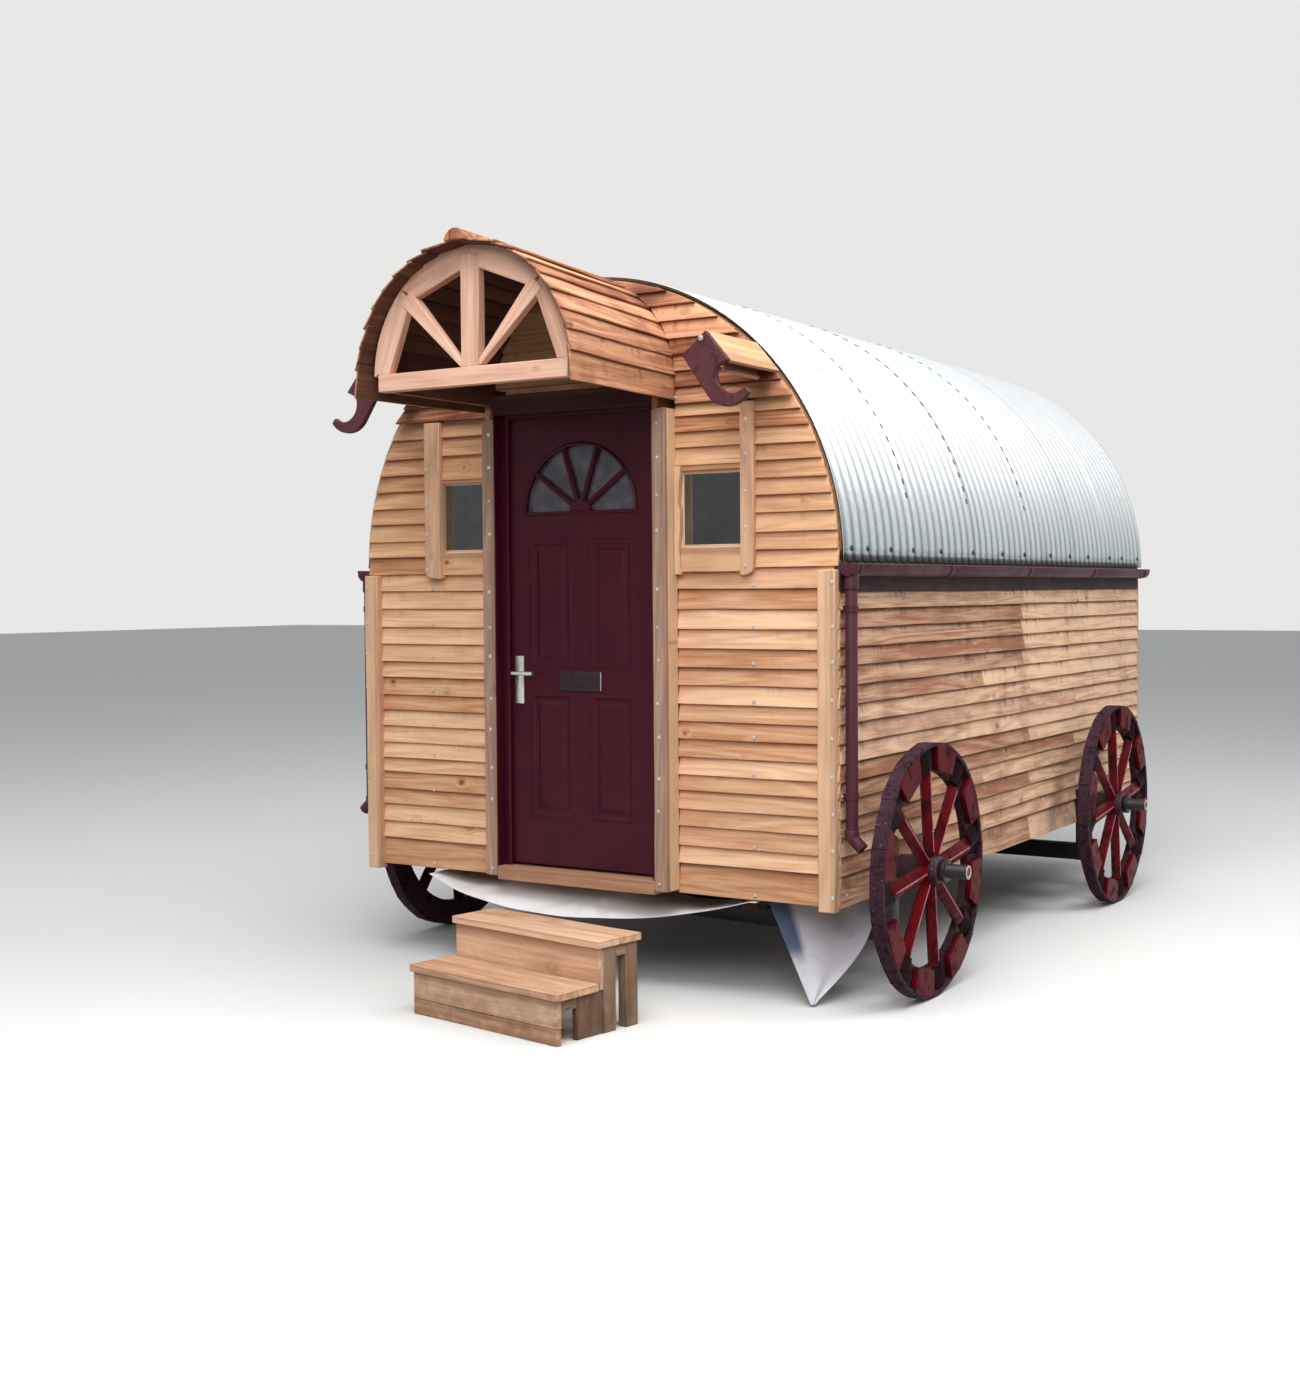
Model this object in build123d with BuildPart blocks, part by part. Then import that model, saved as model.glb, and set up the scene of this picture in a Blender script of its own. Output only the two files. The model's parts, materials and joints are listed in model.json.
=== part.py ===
from build123d import *

import os
from math import atan2, cos, degrees, hypot, radians, sin, sqrt

# A shepherds hut: a boarded room with a barrel roof on four wooden wheels,
# with a hooded doorway in its front end and a loose box stair before it.
# Millimetres. +X to the right of someone facing the door, +Y from the door to the back, +Z up.
# The origin lies on the ground, under the middle of everything.

# The room
BODY_WIDTH = 2440
BODY_LENGTH = 4060
BODY_BOTTOM = 420
EAVES_Z = 1812
WALL = 100
ROOF_CORE = 70

# The corrugated sheets of the roof
SHEET_GAP = 0.5
SHEET_DEPTH = 19.5
SHEET_WAVE = 15.5
SHEET_PITCH = 77
SHEET_FRONT_SETBACK = 10
SHEET_REAR_OVERHANG = 25

# The floor and what it stands on
FLOOR_TOP = 480
DECK = 40
JOIST_HEIGHT = 60
JOIST_WIDTH = 60
JOIST_FIRST = 520
JOIST_LAST_SETBACK = 30
JOIST_COUNT = 6
RAIL_HEIGHT = 80
RAIL_WIDTH = 80
RAIL_SPACING = 1200
RAIL_START = 380

# The two cranked axles
AXLE_BEAM = 80
AXLE_BEAM_WIDTH = 100
AXLE_UPRIGHT = 30
AXLE_UPRIGHT_WIDTH = 120
AXLE_UPRIGHT_GAP = 4
AXLE_UPRIGHT_ABOVE = 70
AXLE_STUB_RADIUS = 30
AXLE_COLLAR_RADIUS = 48
AXLE_COLLAR = 18
AXLE_END = 94
FRONT_AXLE_SETBACK = 447
FRONT_LEFT_SETBACK = 720
REAR_AXLE_SETBACK = 2980

# The four wooden wheels
WHEEL_RADIUS = 533
WHEEL_RIM = 130
WHEEL_WALL_GAP = 164
FRONT_LEFT_WALL_GAP = 64
WHEEL_THICKNESS = 62
SPOKE_COUNT = 8
SPOKE_WIDTH = 88
SPOKE_THICKNESS = 52
SPOKE_TURN = -6
HUB_RADIUS = 56
HUB_PROUD = 22
HUB_CLEARANCE = 0.1
HUB_END_CLEARANCE = 10
SEAT = 0.3

# The doorway
OPENING_WIDTH = 822
OPENING_TOP = 2502
DOOR_POST_WIDTH = 64
DOOR_POST_DEPTH = 77
DOOR_BATTEN_DEPTH = 25
DOOR_POST_BOTTOM = 436
DOOR_POST_TOP = 2456
DOOR_HEAD_BOTTOM = 2475
DOOR_HEAD_HEIGHT = 85
DOOR_HEAD_DEPTH = 50
FRAME_FRONT = 50
FRAME_BACK = 40
FRAME_JAMB = 22
STOP_WIDTH = 20
STOP_DEPTH = 14

# The door leaf, which opens inwards about its right-hand edge
DOOR_GAP = 8
DOOR_TOP_GAP = 6
DOOR_BOTTOM_GAP = 13
DOOR_STOP_GAP = 6
DOOR_THICKNESS = 44
DOOR_STILE = 112
DOOR_MUNTIN = 98
DOOR_BOTTOM_RAIL = 211
DOOR_LOWER_PANEL = 546
DOOR_LOCK_RAIL = 116
DOOR_UPPER_PANEL = 555
DOOR_FAN_RAIL = 125
DOOR_PANEL_DEPTH = 8
FAN_RADIUS = 286
FAN_BAR = 20
FAN_BAR_COUNT = 4
FAN_BAR_DEPTH = 18
FAN_HUB = 55
FAN_GLASS = 6
LETTER_PLATE_WIDTH = 216
LETTER_PLATE_HEIGHT = 88
LETTER_PLATE_THICKNESS = 8
HANDLE_PLATE_WIDTH = 44
HANDLE_PLATE_HEIGHT = 210
HANDLE_PLATE_THICKNESS = 7
HANDLE_REACH = 52
HANDLE_BAR = 110
HANDLE_RADIUS = 9
HANDLE_DROP = 30
HINGE_COUNT = 3
HINGE_BARREL = 60
HINGE_LUG = 16
HINGE_LUG_GAP = 1
HINGE_RADIUS = 7
HINGE_BARREL_GAP = 1
HINGE_PIN_RADIUS = 4
HINGE_PIN_CLEARANCE = 0.1
HINGE_FLAP = 2.5
HINGE_FLAP_WIDTH = 46
HINGE_EDGE_INSET = 180

# The two small front windows
RIGHT_WINDOW_POST_GAP = 15
LEFT_WINDOW_POST_GAP = 17
WINDOW_Z = 2035
RIGHT_WINDOW_WIDTH = 324
LEFT_WINDOW_WIDTH = 298
WINDOW_HEIGHT = 330
WINDOW_FRAME = 14
WINDOW_FRAME_DEPTH = 80
WINDOW_GLASS = 6
WINDOW_GLASS_SETBACK = 4
RIGHT_TRIM_REACH = 136
RIGHT_TRIM_WIDTH = 62
RIGHT_TRIM_DEPTH = 25
LEFT_TRIM_REACH = 121
LEFT_TRIM_WIDTH = 88
LEFT_TRIM_DEPTH = 45
TRIM_INNER_DEPTH = 32
TRIM_POST_GAP = 2
TRIM_TOP = 2468
TRIM_BOTTOM = 1765
TRIM_INNER_TOP = 2215
APRON_HEIGHT = 100
APRON_BOTTOM = 1776
APRON_DEPTH = 24

# The corner posts
CORNER_POST_WIDTH = 76
CORNER_POST_DEPTH = 40
CORNER_POST_BOTTOM = 405
CORNER_POST_TOP = 1775

# The boarded skirt round the top of the front gable
SKIRT_BOTTOM = 2475
SKIRT_DEPTH = 30
SKIRT_HOOD_GAP = 2

# The barrel hood over the door
HOOD_REACH = 850
HOOD_BOTTOM = 2490
HOOD_FRONT_Z = 2543
HOOD_FRONT_RADIUS = 537
HOOD_WALL_Z = 2560
HOOD_WALL_RADIUS = 483
HOOD_INSIDE_WALL_RADIUS = 458
TRUSS_Z = 2569
TRUSS_RADIUS = 486
TRUSS_CLEARANCE = 0.3
TRUSS_SETBACK = 60
TRUSS_THICKNESS = 45
CHORD_BOTTOM = 2515
CHORD_HEIGHT = 73
CHORD_WIDTH = 940
KING_POST_WIDTH = 90
STRUT_WIDTH = 74
TRUSS_KNEE_X = 298
TRUSS_KNEE_Z = 2857
TRUSS_KNEE_CUT = 34
TRUSS_INNER_FOOT_X = 415
TRUSS_INNER_TOP_X = 45
TRUSS_INNER_TOP_Z = 2969
STRUT_FOOT_X = 40
HOOD_BEARER_WIDTH = 42
HOOD_BLOCK_WIDTH = 46
HOOD_BLOCK_DEPTH = 102
RIDGE_RADIUS = 52
RIDGE_HEIGHT = 40
RIDGE_FRONT_REACH = 880
RIDGE_OVER_ROOF = 5

# The hooks beside the hood, each on a short beam under a lid board
HOOK_REACH = 432
HOOK_THICKNESS = 28
HOOK_TOP_INSET = 356
HOOK_TOP_DROP = 333
HOOK_TILT = 50
HOOK_PLATE_WIDTH = 137
HOOK_PLATE_LENGTH = 140
HOOK_TIP = 14
HOOK_TIP_IN = 50
HOOK_THROAT_ALONG = 240
HOOK_THROAT_IN = 86
HOOK_LIP_START = 284
HOOK_LIP = 28
HOOK_BACK_ALONG = 290
HOOK_BACK_IN = 115
HOOK_NECK_ALONG = 205
HOOK_NECK_IN = 156
LID_WIDTH = 156
LID_THICKNESS = 22
HOOK_BEAM_WIDTH = 75
HOOK_BEAM_DEPTH = 47

# The gutters and downpipes
GUTTER_RADIUS = 38
GUTTER_LIP = 12
GUTTER_WALL = 3
GUTTER_TOP_DROP = 12
GUTTER_COUNT = 4
GUTTER_SPIGOT_RADIUS = 29
GUTTER_SPIGOT = 22
PIPE_RADIUS = 25
PIPE_WALL = 2.5
PIPE_SETBACK = 36
PIPE_BEND_Z = 705
PIPE_SHOE_OUT = 48
PIPE_SHOE_DROP = 44
PIPE_BEND_RADIUS = 45
PIPE_CLIP_HEIGHT = 24
PIPE_CLIP_WIDTH = 30
PIPE_CLIPS_Z = (1620, 870)

# The box stair, which stands by itself and a little askew
STAIR_CORNER_X = 548
STAIR_REACH = 1012
STAIR_TURN = -9.5
STAIR_WIDTH = 835
STAIR_TREAD_DEPTH = 244
STAIR_LOWER_TOP = 200
STAIR_UPPER_TOP = 362
STAIR_TREAD = 30
STAIR_NOSING = 12
STAIR_BOARD_GAP = 3
STAIR_RISER = 24
STAIR_LEG_WIDTH = 70
STAIR_LEG_THICKNESS = 42
STAIR_RAIL_HEIGHT = 45
STAIR_END_INSET = 12
STAIR_SUPPORT_WIDTH = 118
STAIR_SUPPORT_INSET = 8

# The white sheet that sags under the front, and the loose membrane at the right-hand corner
SHEET_SAG_INSET = 370
SHEET_SAG_LOW_X = -40
SHEET_SAG_LOW_Z = 262
SHEET_SAG_THICKNESS = 4
SHEET_SAG_FRONT = 30
SHEET_SAG_BACK = 350
MEMBRANE_THICKNESS = 6
MEMBRANE_FRONT_INSET = 360
MEMBRANE_FRONT_SETBACK = 60
MEMBRANE_SIDE_INSET = 55
MEMBRANE_SIDE_SETBACK = 466
MEMBRANE_TIP_INSET = 160
MEMBRANE_TIP_SETBACK = 30
MEMBRANE_TIP_Z = 36

# Values that follow from the ones above
half_width = BODY_WIDTH / 2
rear_reach = max(CORNER_POST_DEPTH, SHEET_REAR_OVERHANG)
front_y = STAIR_REACH - (STAIR_REACH + BODY_LENGTH + rear_reach) / 2
rear_y = front_y + BODY_LENGTH
floor_underside = FLOOR_TOP - DECK
joist_bottom = floor_underside - JOIST_HEIGHT
rail_bottom = joist_bottom - RAIL_HEIGHT
half_opening = OPENING_WIDTH / 2
post_edge = half_opening + DOOR_POST_WIDTH
door_width = OPENING_WIDTH - 2 * FRAME_JAMB - 2 * DOOR_GAP
door_bottom = FLOOR_TOP + DOOR_BOTTOM_GAP
door_top = OPENING_TOP - FRAME_JAMB - DOOR_TOP_GAP
door_front = front_y - FRAME_FRONT + STOP_DEPTH + DOOR_STOP_GAP
door_back = door_front + DOOR_THICKNESS
fan_z = door_bottom + DOOR_BOTTOM_RAIL + DOOR_LOWER_PANEL + DOOR_LOCK_RAIL + DOOR_UPPER_PANEL + DOOR_FAN_RAIL
hinge_x = door_width / 2
hinge_y = door_back + HINGE_RADIUS + HINGE_BARREL_GAP
axle_upright_inner = half_width + AXLE_UPRIGHT_GAP
axle_upright_outer = axle_upright_inner + AXLE_UPRIGHT
hub_inner_x = axle_upright_outer + AXLE_COLLAR + HUB_END_CLEARANCE
left_window_x = -(post_edge + LEFT_WINDOW_POST_GAP + LEFT_WINDOW_WIDTH / 2)
right_window_x = post_edge + RIGHT_WINDOW_POST_GAP + RIGHT_WINDOW_WIDTH / 2
hook_top_x = half_width - HOOK_TOP_INSET
axle_past_wheel = HUB_PROUD + HUB_END_CLEARANCE + AXLE_COLLAR + AXLE_END
axle_reach = half_width + WHEEL_WALL_GAP + WHEEL_THICKNESS + axle_past_wheel

# Each wheel's side of the hut, its setback from the front, and how far its inner face stands from the wall.
# The crude front axle lies askew, so its left wheel stands further back and closer in.
WHEELS = {
    "wheel_front_right": (1, FRONT_AXLE_SETBACK, WHEEL_WALL_GAP),
    "wheel_front_left": (-1, FRONT_LEFT_SETBACK, FRONT_LEFT_WALL_GAP),
    "wheel_rear_right": (1, REAR_AXLE_SETBACK, WHEEL_WALL_GAP),
    "wheel_rear_left": (-1, REAR_AXLE_SETBACK, WHEEL_WALL_GAP),
}

# Each window's middle, its frame's width, and its outer batten's distance from that middle, width and depth
WINDOWS = (
    (left_window_x, LEFT_WINDOW_WIDTH, LEFT_TRIM_REACH, LEFT_TRIM_WIDTH, LEFT_TRIM_DEPTH),
    (right_window_x, RIGHT_WINDOW_WIDTH, RIGHT_TRIM_REACH, RIGHT_TRIM_WIDTH, RIGHT_TRIM_DEPTH),
)
hook_top_z = EAVES_Z + half_width - HOOK_TOP_DROP


os.makedirs("parts", exist_ok=True)


def save(part, name):
    """Label a finished piece and write it as its own file."""
    part.label = name
    export_step(part, "parts/" + name + ".step")


def upright_plane(y):
    """A plane across the hut at depth y, with X across and Z up; extruding by a minus amount goes back."""
    return Plane(origin=(0, y, 0), x_dir=(1, 0, 0), z_dir=(0, -1, 0))


def block(low, high):
    """A squared block from its low corner to its high corner."""
    size = [b - a for a, b in zip(low, high)]
    middle = tuple((a + b) / 2 for a, b in zip(low, high))
    with Locations(middle):
        Box(*size)


def both_sides(low, high):
    """A squared block on the right, and its mirror image on the left."""
    block(low, high)
    block((-high[0], low[1], low[2]), (-low[0], high[1], high[2]))


def panel(x_low, x_high, z_low, z_high, mode=Mode.ADD):
    """A rectangle in an upright sketch, between two widths and two heights."""
    with Locations(((x_low + x_high) / 2, (z_low + z_high) / 2)):
        Rectangle(x_high - x_low, z_high - z_low, mode=mode)


def arch_top(x):
    """The height of the gable's curved edge at a distance x from the middle."""
    return EAVES_Z + sqrt(half_width**2 - x**2)


# Floor, chassis and axles

with BuildPart() as floor_deck:
    with BuildSketch(Plane.XY.offset(floor_underside)):
        with Locations((0, (front_y + rear_y) / 2)):
            Rectangle(BODY_WIDTH - 2 * WALL, BODY_LENGTH - 2 * WALL)
        with Locations((0, front_y + WALL / 2)):
            Rectangle(OPENING_WIDTH, WALL)
    extrude(amount=DECK)
save(floor_deck.part, "floor_deck")

with BuildPart() as floor_joists:
    last_joist = BODY_LENGTH - WALL - JOIST_WIDTH - JOIST_LAST_SETBACK
    for i in range(JOIST_COUNT):
        y = front_y + JOIST_FIRST + i * (last_joist - JOIST_FIRST) / (JOIST_COUNT - 1)
        block(
            (WALL - half_width, y, joist_bottom),
            (half_width - WALL, y + JOIST_WIDTH, floor_underside),
        )
save(floor_joists.part, "floor_joists")

with BuildPart() as chassis_rails:
    both_sides(
        ((RAIL_SPACING - RAIL_WIDTH) / 2, front_y + RAIL_START, rail_bottom),
        ((RAIL_SPACING + RAIL_WIDTH) / 2, rear_y - WALL, joist_bottom),
    )
save(chassis_rails.part, "chassis_rails")


def outer_face(gap):
    """How far a wheel's outer face is from the middle of the hut."""
    return half_width + gap + WHEEL_THICKNESS


def make_axle(name):
    """A beam under the rails, cranked up outside both walls, with a stub for each wheel."""
    ends = {side: (front_y + setback, gap) for wheel, (side, setback, gap) in WHEELS.items() if name in wheel}
    with BuildPart() as axle:
        with BuildSketch(Plane.XY.offset(rail_bottom - AXLE_BEAM)):
            with BuildLine():
                corners = [
                    (side * axle_upright_outer, ends[side][0] + edge * side * AXLE_BEAM_WIDTH / 2)
                    for side, edge in ((-1, 1), (-1, -1), (1, 1), (1, -1))
                ]
                Polyline(*corners, close=True)
            make_face()
        extrude(amount=AXLE_BEAM)
        for side, (y, gap) in ends.items():
            near, far = sorted((side * axle_upright_inner, side * axle_upright_outer))
            block(
                (near, y - AXLE_UPRIGHT_WIDTH / 2, rail_bottom - AXLE_BEAM),
                (far, y + AXLE_UPRIGHT_WIDTH / 2, WHEEL_RADIUS + AXLE_UPRIGHT_ABOVE),
            )
            stub = outer_face(gap) + HUB_PROUD + HUB_END_CLEARANCE - axle_upright_outer
            inner_face = Plane(
                origin=(side * axle_upright_outer, y, WHEEL_RADIUS), x_dir=(0, 1, 0), z_dir=(side, 0, 0)
            )
            with BuildSketch(inner_face):
                Circle(AXLE_STUB_RADIUS)
            extrude(amount=stub + AXLE_COLLAR + AXLE_END)
            with BuildSketch(inner_face):
                Circle(AXLE_COLLAR_RADIUS)
            extrude(amount=AXLE_COLLAR)
            with BuildSketch(inner_face.offset(stub)):
                Circle(AXLE_COLLAR_RADIUS)
            extrude(amount=AXLE_COLLAR)
    save(axle.part, name + "_axle")


make_axle("front")
make_axle("rear")


# Wheels

def wheel_plane(side, setback, x):
    """A plane square to a wheel's axle at a distance x out from the middle, facing out, with Z as its Y."""
    return Plane(
        origin=(side * x, front_y + setback, WHEEL_RADIUS), x_dir=(0, side, 0), z_dir=(side, 0, 0)
    )


def spoke_angles(side):
    """The turn of each spoke from straight up, towards the back of the hut."""
    half_turn = 0 if side > 0 else 180
    return [side * (90 - SPOKE_TURN - i * 360 / SPOKE_COUNT) + half_turn for i in range(SPOKE_COUNT)]


def make_wheel(name, side, setback, gap):
    """A wheel in two pieces: the plain rim, and the hub with its spokes."""
    inner_radius = WHEEL_RADIUS - WHEEL_RIM
    spoke_start = outer_face(gap) - (WHEEL_THICKNESS + SPOKE_THICKNESS) / 2
    hub_length = outer_face(gap) + HUB_PROUD - hub_inner_x
    with BuildPart() as rim:
        with BuildSketch(wheel_plane(side, setback, outer_face(gap) - WHEEL_THICKNESS)):
            Circle(WHEEL_RADIUS)
            Circle(inner_radius, mode=Mode.SUBTRACT)
        extrude(amount=WHEEL_THICKNESS)
    save(rim.part, name + "_rim")

    with BuildPart() as spokes:
        with BuildSketch(wheel_plane(side, setback, spoke_start)):
            for angle in spoke_angles(side):
                with Locations(Location((0, 0), angle)):
                    with Locations((WHEEL_RADIUS / 2, 0)):
                        Rectangle(WHEEL_RADIUS, SPOKE_WIDTH)
            Circle(inner_radius - SEAT, mode=Mode.INTERSECT)
        extrude(amount=SPOKE_THICKNESS)
        with BuildSketch(wheel_plane(side, setback, hub_inner_x)):
            Circle(HUB_RADIUS)
        extrude(amount=hub_length)
        with BuildSketch(wheel_plane(side, setback, hub_inner_x)):
            Circle(AXLE_STUB_RADIUS + HUB_CLEARANCE)
        extrude(amount=hub_length, mode=Mode.SUBTRACT)
    save(spokes.part, name + "_spokes")


for wheel, place in WHEELS.items():
    make_wheel(wheel, *place)


# Walls

def make_front_wall(name, side, window_x, window_width):
    """The front wall beside the doorway, with its window's opening."""
    middle = radians(45)
    with BuildPart() as wall:
        with BuildSketch(upright_plane(front_y)):
            with BuildLine():
                foot = Line((side * half_opening, BODY_BOTTOM), (side * half_width, BODY_BOTTOM))
                edge = Line(foot @ 1, (side * half_width, EAVES_Z))
                curve = ThreePointArc(
                    edge @ 1,
                    (side * half_width * cos(middle), EAVES_Z + half_width * sin(middle)),
                    (side * half_opening, arch_top(half_opening)),
                )
                Line(curve @ 1, foot @ 0)
            make_face()
            with Locations((window_x, WINDOW_Z)):
                Rectangle(window_width, WINDOW_HEIGHT, mode=Mode.SUBTRACT)
        extrude(amount=-WALL)
    save(wall.part, name)


make_front_wall("front_wall_left", -1, left_window_x, LEFT_WINDOW_WIDTH)
make_front_wall("front_wall_right", 1, right_window_x, RIGHT_WINDOW_WIDTH)

with BuildPart() as front_wall_over_door:
    with BuildSketch(upright_plane(front_y)):
        with BuildLine():
            head = Line((-half_opening, OPENING_TOP), (half_opening, OPENING_TOP))
            right_edge = Line(head @ 1, (half_opening, arch_top(half_opening)))
            crown = ThreePointArc(
                right_edge @ 1, (0, arch_top(0)), (-half_opening, arch_top(half_opening))
            )
            Line(crown @ 1, head @ 0)
        make_face()
    extrude(amount=-WALL)
save(front_wall_over_door.part, "front_wall_over_door")

with BuildPart() as rear_wall:
    with BuildSketch(upright_plane(rear_y - WALL)):
        with BuildLine():
            foot = Line((-half_width, BODY_BOTTOM), (half_width, BODY_BOTTOM))
            right_edge = Line(foot @ 1, (half_width, EAVES_Z))
            crown = ThreePointArc(right_edge @ 1, (0, arch_top(0)), (-half_width, EAVES_Z))
            Line(crown @ 1, foot @ 0)
        make_face()
    extrude(amount=-WALL)
save(rear_wall.part, "rear_wall")


def make_side_wall(name, side):
    """A plain side wall between the front and rear walls."""
    with BuildPart() as wall:
        inner = side * (half_width - WALL)
        outer = side * half_width
        block(
            (min(inner, outer), front_y + WALL, BODY_BOTTOM),
            (max(inner, outer), rear_y - WALL, EAVES_Z),
        )
    save(wall.part, name)


make_side_wall("left_wall", -1)
make_side_wall("right_wall", 1)


# Roof

def half_ring(inner, outer):
    """The upper half of a ring about the middle of the roof, in an upright sketch."""
    with Locations((0, EAVES_Z)):
        Circle(outer)
        Circle(inner, mode=Mode.SUBTRACT)
    panel(-outer, outer, EAVES_Z, EAVES_Z + outer, mode=Mode.INTERSECT)


with BuildPart() as roof_core:
    with BuildSketch(upright_plane(front_y + WALL)):
        half_ring(half_width - ROOF_CORE, half_width)
    extrude(amount=2 * WALL - BODY_LENGTH)
save(roof_core.part, "roof_core")

# The sheets' waves run across the hut: flat inside, and outside one ridge to each wave
sheet_start = front_y + SHEET_FRONT_SETBACK
sheet_end = front_y + BODY_LENGTH + SHEET_REAR_OVERHANG
sheet_inside = half_width + SHEET_GAP
wave_count = round((sheet_end - sheet_start) / SHEET_PITCH)
half_wave = (sheet_end - sheet_start) / wave_count / 2

with BuildPart() as roof_sheets:
    crest = sheet_inside + SHEET_DEPTH
    waves = [(sheet_start + i * half_wave, crest - i % 2 * SHEET_WAVE) for i in range(2 * wave_count + 1)]
    with BuildSketch(Plane(origin=(0, 0, EAVES_Z), x_dir=(0, 1, 0), z_dir=(0, 0, -1))):
        with BuildLine():
            Polyline((sheet_end, sheet_inside), (sheet_start, sheet_inside), *waves, close=True)
        make_face()
    revolve(axis=Axis((0, 0, EAVES_Z), (0, -1, 0)), revolution_arc=180)
save(roof_sheets.part, "roof_sheets")


# Gutters and downpipes

gutter_x = half_width + SEAT + GUTTER_RADIUS
gutter_top = EAVES_Z - GUTTER_TOP_DROP
gutter_axis_z = gutter_top - GUTTER_LIP
gutter_bottom = gutter_axis_z - GUTTER_RADIUS
pipe_y = front_y + PIPE_SETBACK
pipe_top = gutter_bottom - GUTTER_SPIGOT


def trough(side, radius, top):
    """A half-round trough's section with straight lips."""
    low_x = side * gutter_x - radius
    high_x = side * gutter_x + radius
    with Locations((side * gutter_x, gutter_axis_z)):
        Circle(radius)
    panel(low_x, high_x, gutter_axis_z, gutter_axis_z + radius, mode=Mode.SUBTRACT)
    panel(low_x, high_x, gutter_axis_z, top)


# Each gutter is made of equal lengths laid end to end
with BuildPart() as gutters:
    gutter_length = (BODY_LENGTH - (GUTTER_COUNT - 1) * SEAT) / GUTTER_COUNT
    for side in (-1, 1):
        for i in range(GUTTER_COUNT):
            with BuildSketch(upright_plane(front_y + i * (gutter_length + SEAT))):
                trough(side, GUTTER_RADIUS, gutter_top)
            extrude(amount=-gutter_length)
        with BuildSketch(Plane.XY.offset(pipe_top)):
            with Locations((side * gutter_x, pipe_y)):
                Circle(GUTTER_SPIGOT_RADIUS)
        extrude(amount=GUTTER_SPIGOT + GUTTER_RADIUS / 2)
    for side in (-1, 1):
        with BuildSketch(upright_plane(front_y + GUTTER_WALL)):
            trough(side, GUTTER_RADIUS - GUTTER_WALL, gutter_top)
        extrude(amount=2 * GUTTER_WALL - BODY_LENGTH, mode=Mode.SUBTRACT)
        with BuildSketch(Plane.XY.offset(pipe_top)):
            with Locations((side * gutter_x, pipe_y)):
                Circle(PIPE_RADIUS - PIPE_WALL)
        extrude(amount=GUTTER_SPIGOT + GUTTER_RADIUS / 2, mode=Mode.SUBTRACT)
save(gutters.part, "gutters")

with BuildPart() as downpipes:
    for side in (-1, 1):
        clip_near, clip_far = sorted((side * (half_width + SEAT), side * gutter_x))
        for clip_z in PIPE_CLIPS_Z:
            block(
                (clip_near, pipe_y - PIPE_CLIP_WIDTH / 2, clip_z - PIPE_CLIP_HEIGHT / 2),
                (clip_far, pipe_y + PIPE_CLIP_WIDTH / 2, clip_z + PIPE_CLIP_HEIGHT / 2),
            )
    for side in (-1, 1):
        for radius, mode in ((PIPE_RADIUS, Mode.ADD), (PIPE_RADIUS - PIPE_WALL, Mode.SUBTRACT)):
            with BuildLine() as pipe_path:
                FilletPolyline(
                    (side * gutter_x, pipe_y, pipe_top),
                    (side * gutter_x, pipe_y, PIPE_BEND_Z),
                    (side * (gutter_x + PIPE_SHOE_OUT), pipe_y, PIPE_BEND_Z - PIPE_SHOE_DROP),
                    radius=PIPE_BEND_RADIUS,
                )
            with BuildSketch(Plane(origin=(side * gutter_x, pipe_y, pipe_top), z_dir=(0, 0, -1))):
                Circle(radius)
            sweep(path=pipe_path.line, mode=mode)
save(downpipes.part, "downpipes")


# Posts, sill, head and door frame

with BuildPart() as corner_posts:
    for y_low, y_high in ((front_y - CORNER_POST_DEPTH, front_y), (rear_y, rear_y + CORNER_POST_DEPTH)):
        both_sides(
            (half_width - CORNER_POST_WIDTH, y_low, CORNER_POST_BOTTOM),
            (half_width, y_high, CORNER_POST_TOP),
        )
save(corner_posts.part, "corner_posts")

with BuildPart() as door_posts:
    both_sides(
        (half_opening, front_y - DOOR_POST_DEPTH, DOOR_POST_BOTTOM),
        (post_edge, front_y, DOOR_POST_TOP),
    )
save(door_posts.part, "door_posts")

post_face = front_y - DOOR_POST_DEPTH - DOOR_BATTEN_DEPTH

with BuildPart() as door_post_battens:
    both_sides(
        (half_opening, post_face, DOOR_POST_BOTTOM),
        (post_edge, front_y - DOOR_POST_DEPTH, DOOR_POST_TOP),
    )
save(door_post_battens.part, "door_post_battens")

with BuildPart() as door_sill:
    block((-half_opening, post_face, BODY_BOTTOM), (half_opening, front_y, FLOOR_TOP))
save(door_sill.part, "door_sill")

with BuildPart() as door_head:
    block(
        (-half_opening, post_face, DOOR_HEAD_BOTTOM),
        (half_opening, post_face + DOOR_HEAD_DEPTH, DOOR_HEAD_BOTTOM + DOOR_HEAD_HEIGHT),
    )
save(door_head.part, "door_head")

with BuildPart() as door_frame:
    frame_front = front_y - FRAME_FRONT
    inner = half_opening - FRAME_JAMB
    with BuildSketch(upright_plane(frame_front)):
        panel(-half_opening, half_opening, FLOOR_TOP, OPENING_TOP)
        panel(-inner, inner, FLOOR_TOP, OPENING_TOP - FRAME_JAMB, mode=Mode.SUBTRACT)
    extrude(amount=-(FRAME_FRONT + FRAME_BACK))
    with BuildSketch(upright_plane(frame_front)):
        panel(-inner, inner, FLOOR_TOP, OPENING_TOP - FRAME_JAMB)
        panel(
            STOP_WIDTH - inner,
            inner - STOP_WIDTH,
            FLOOR_TOP,
            OPENING_TOP - FRAME_JAMB - STOP_WIDTH,
            mode=Mode.SUBTRACT,
        )
    extrude(amount=-STOP_DEPTH)
save(door_frame.part, "door_frame")


# The door

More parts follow.
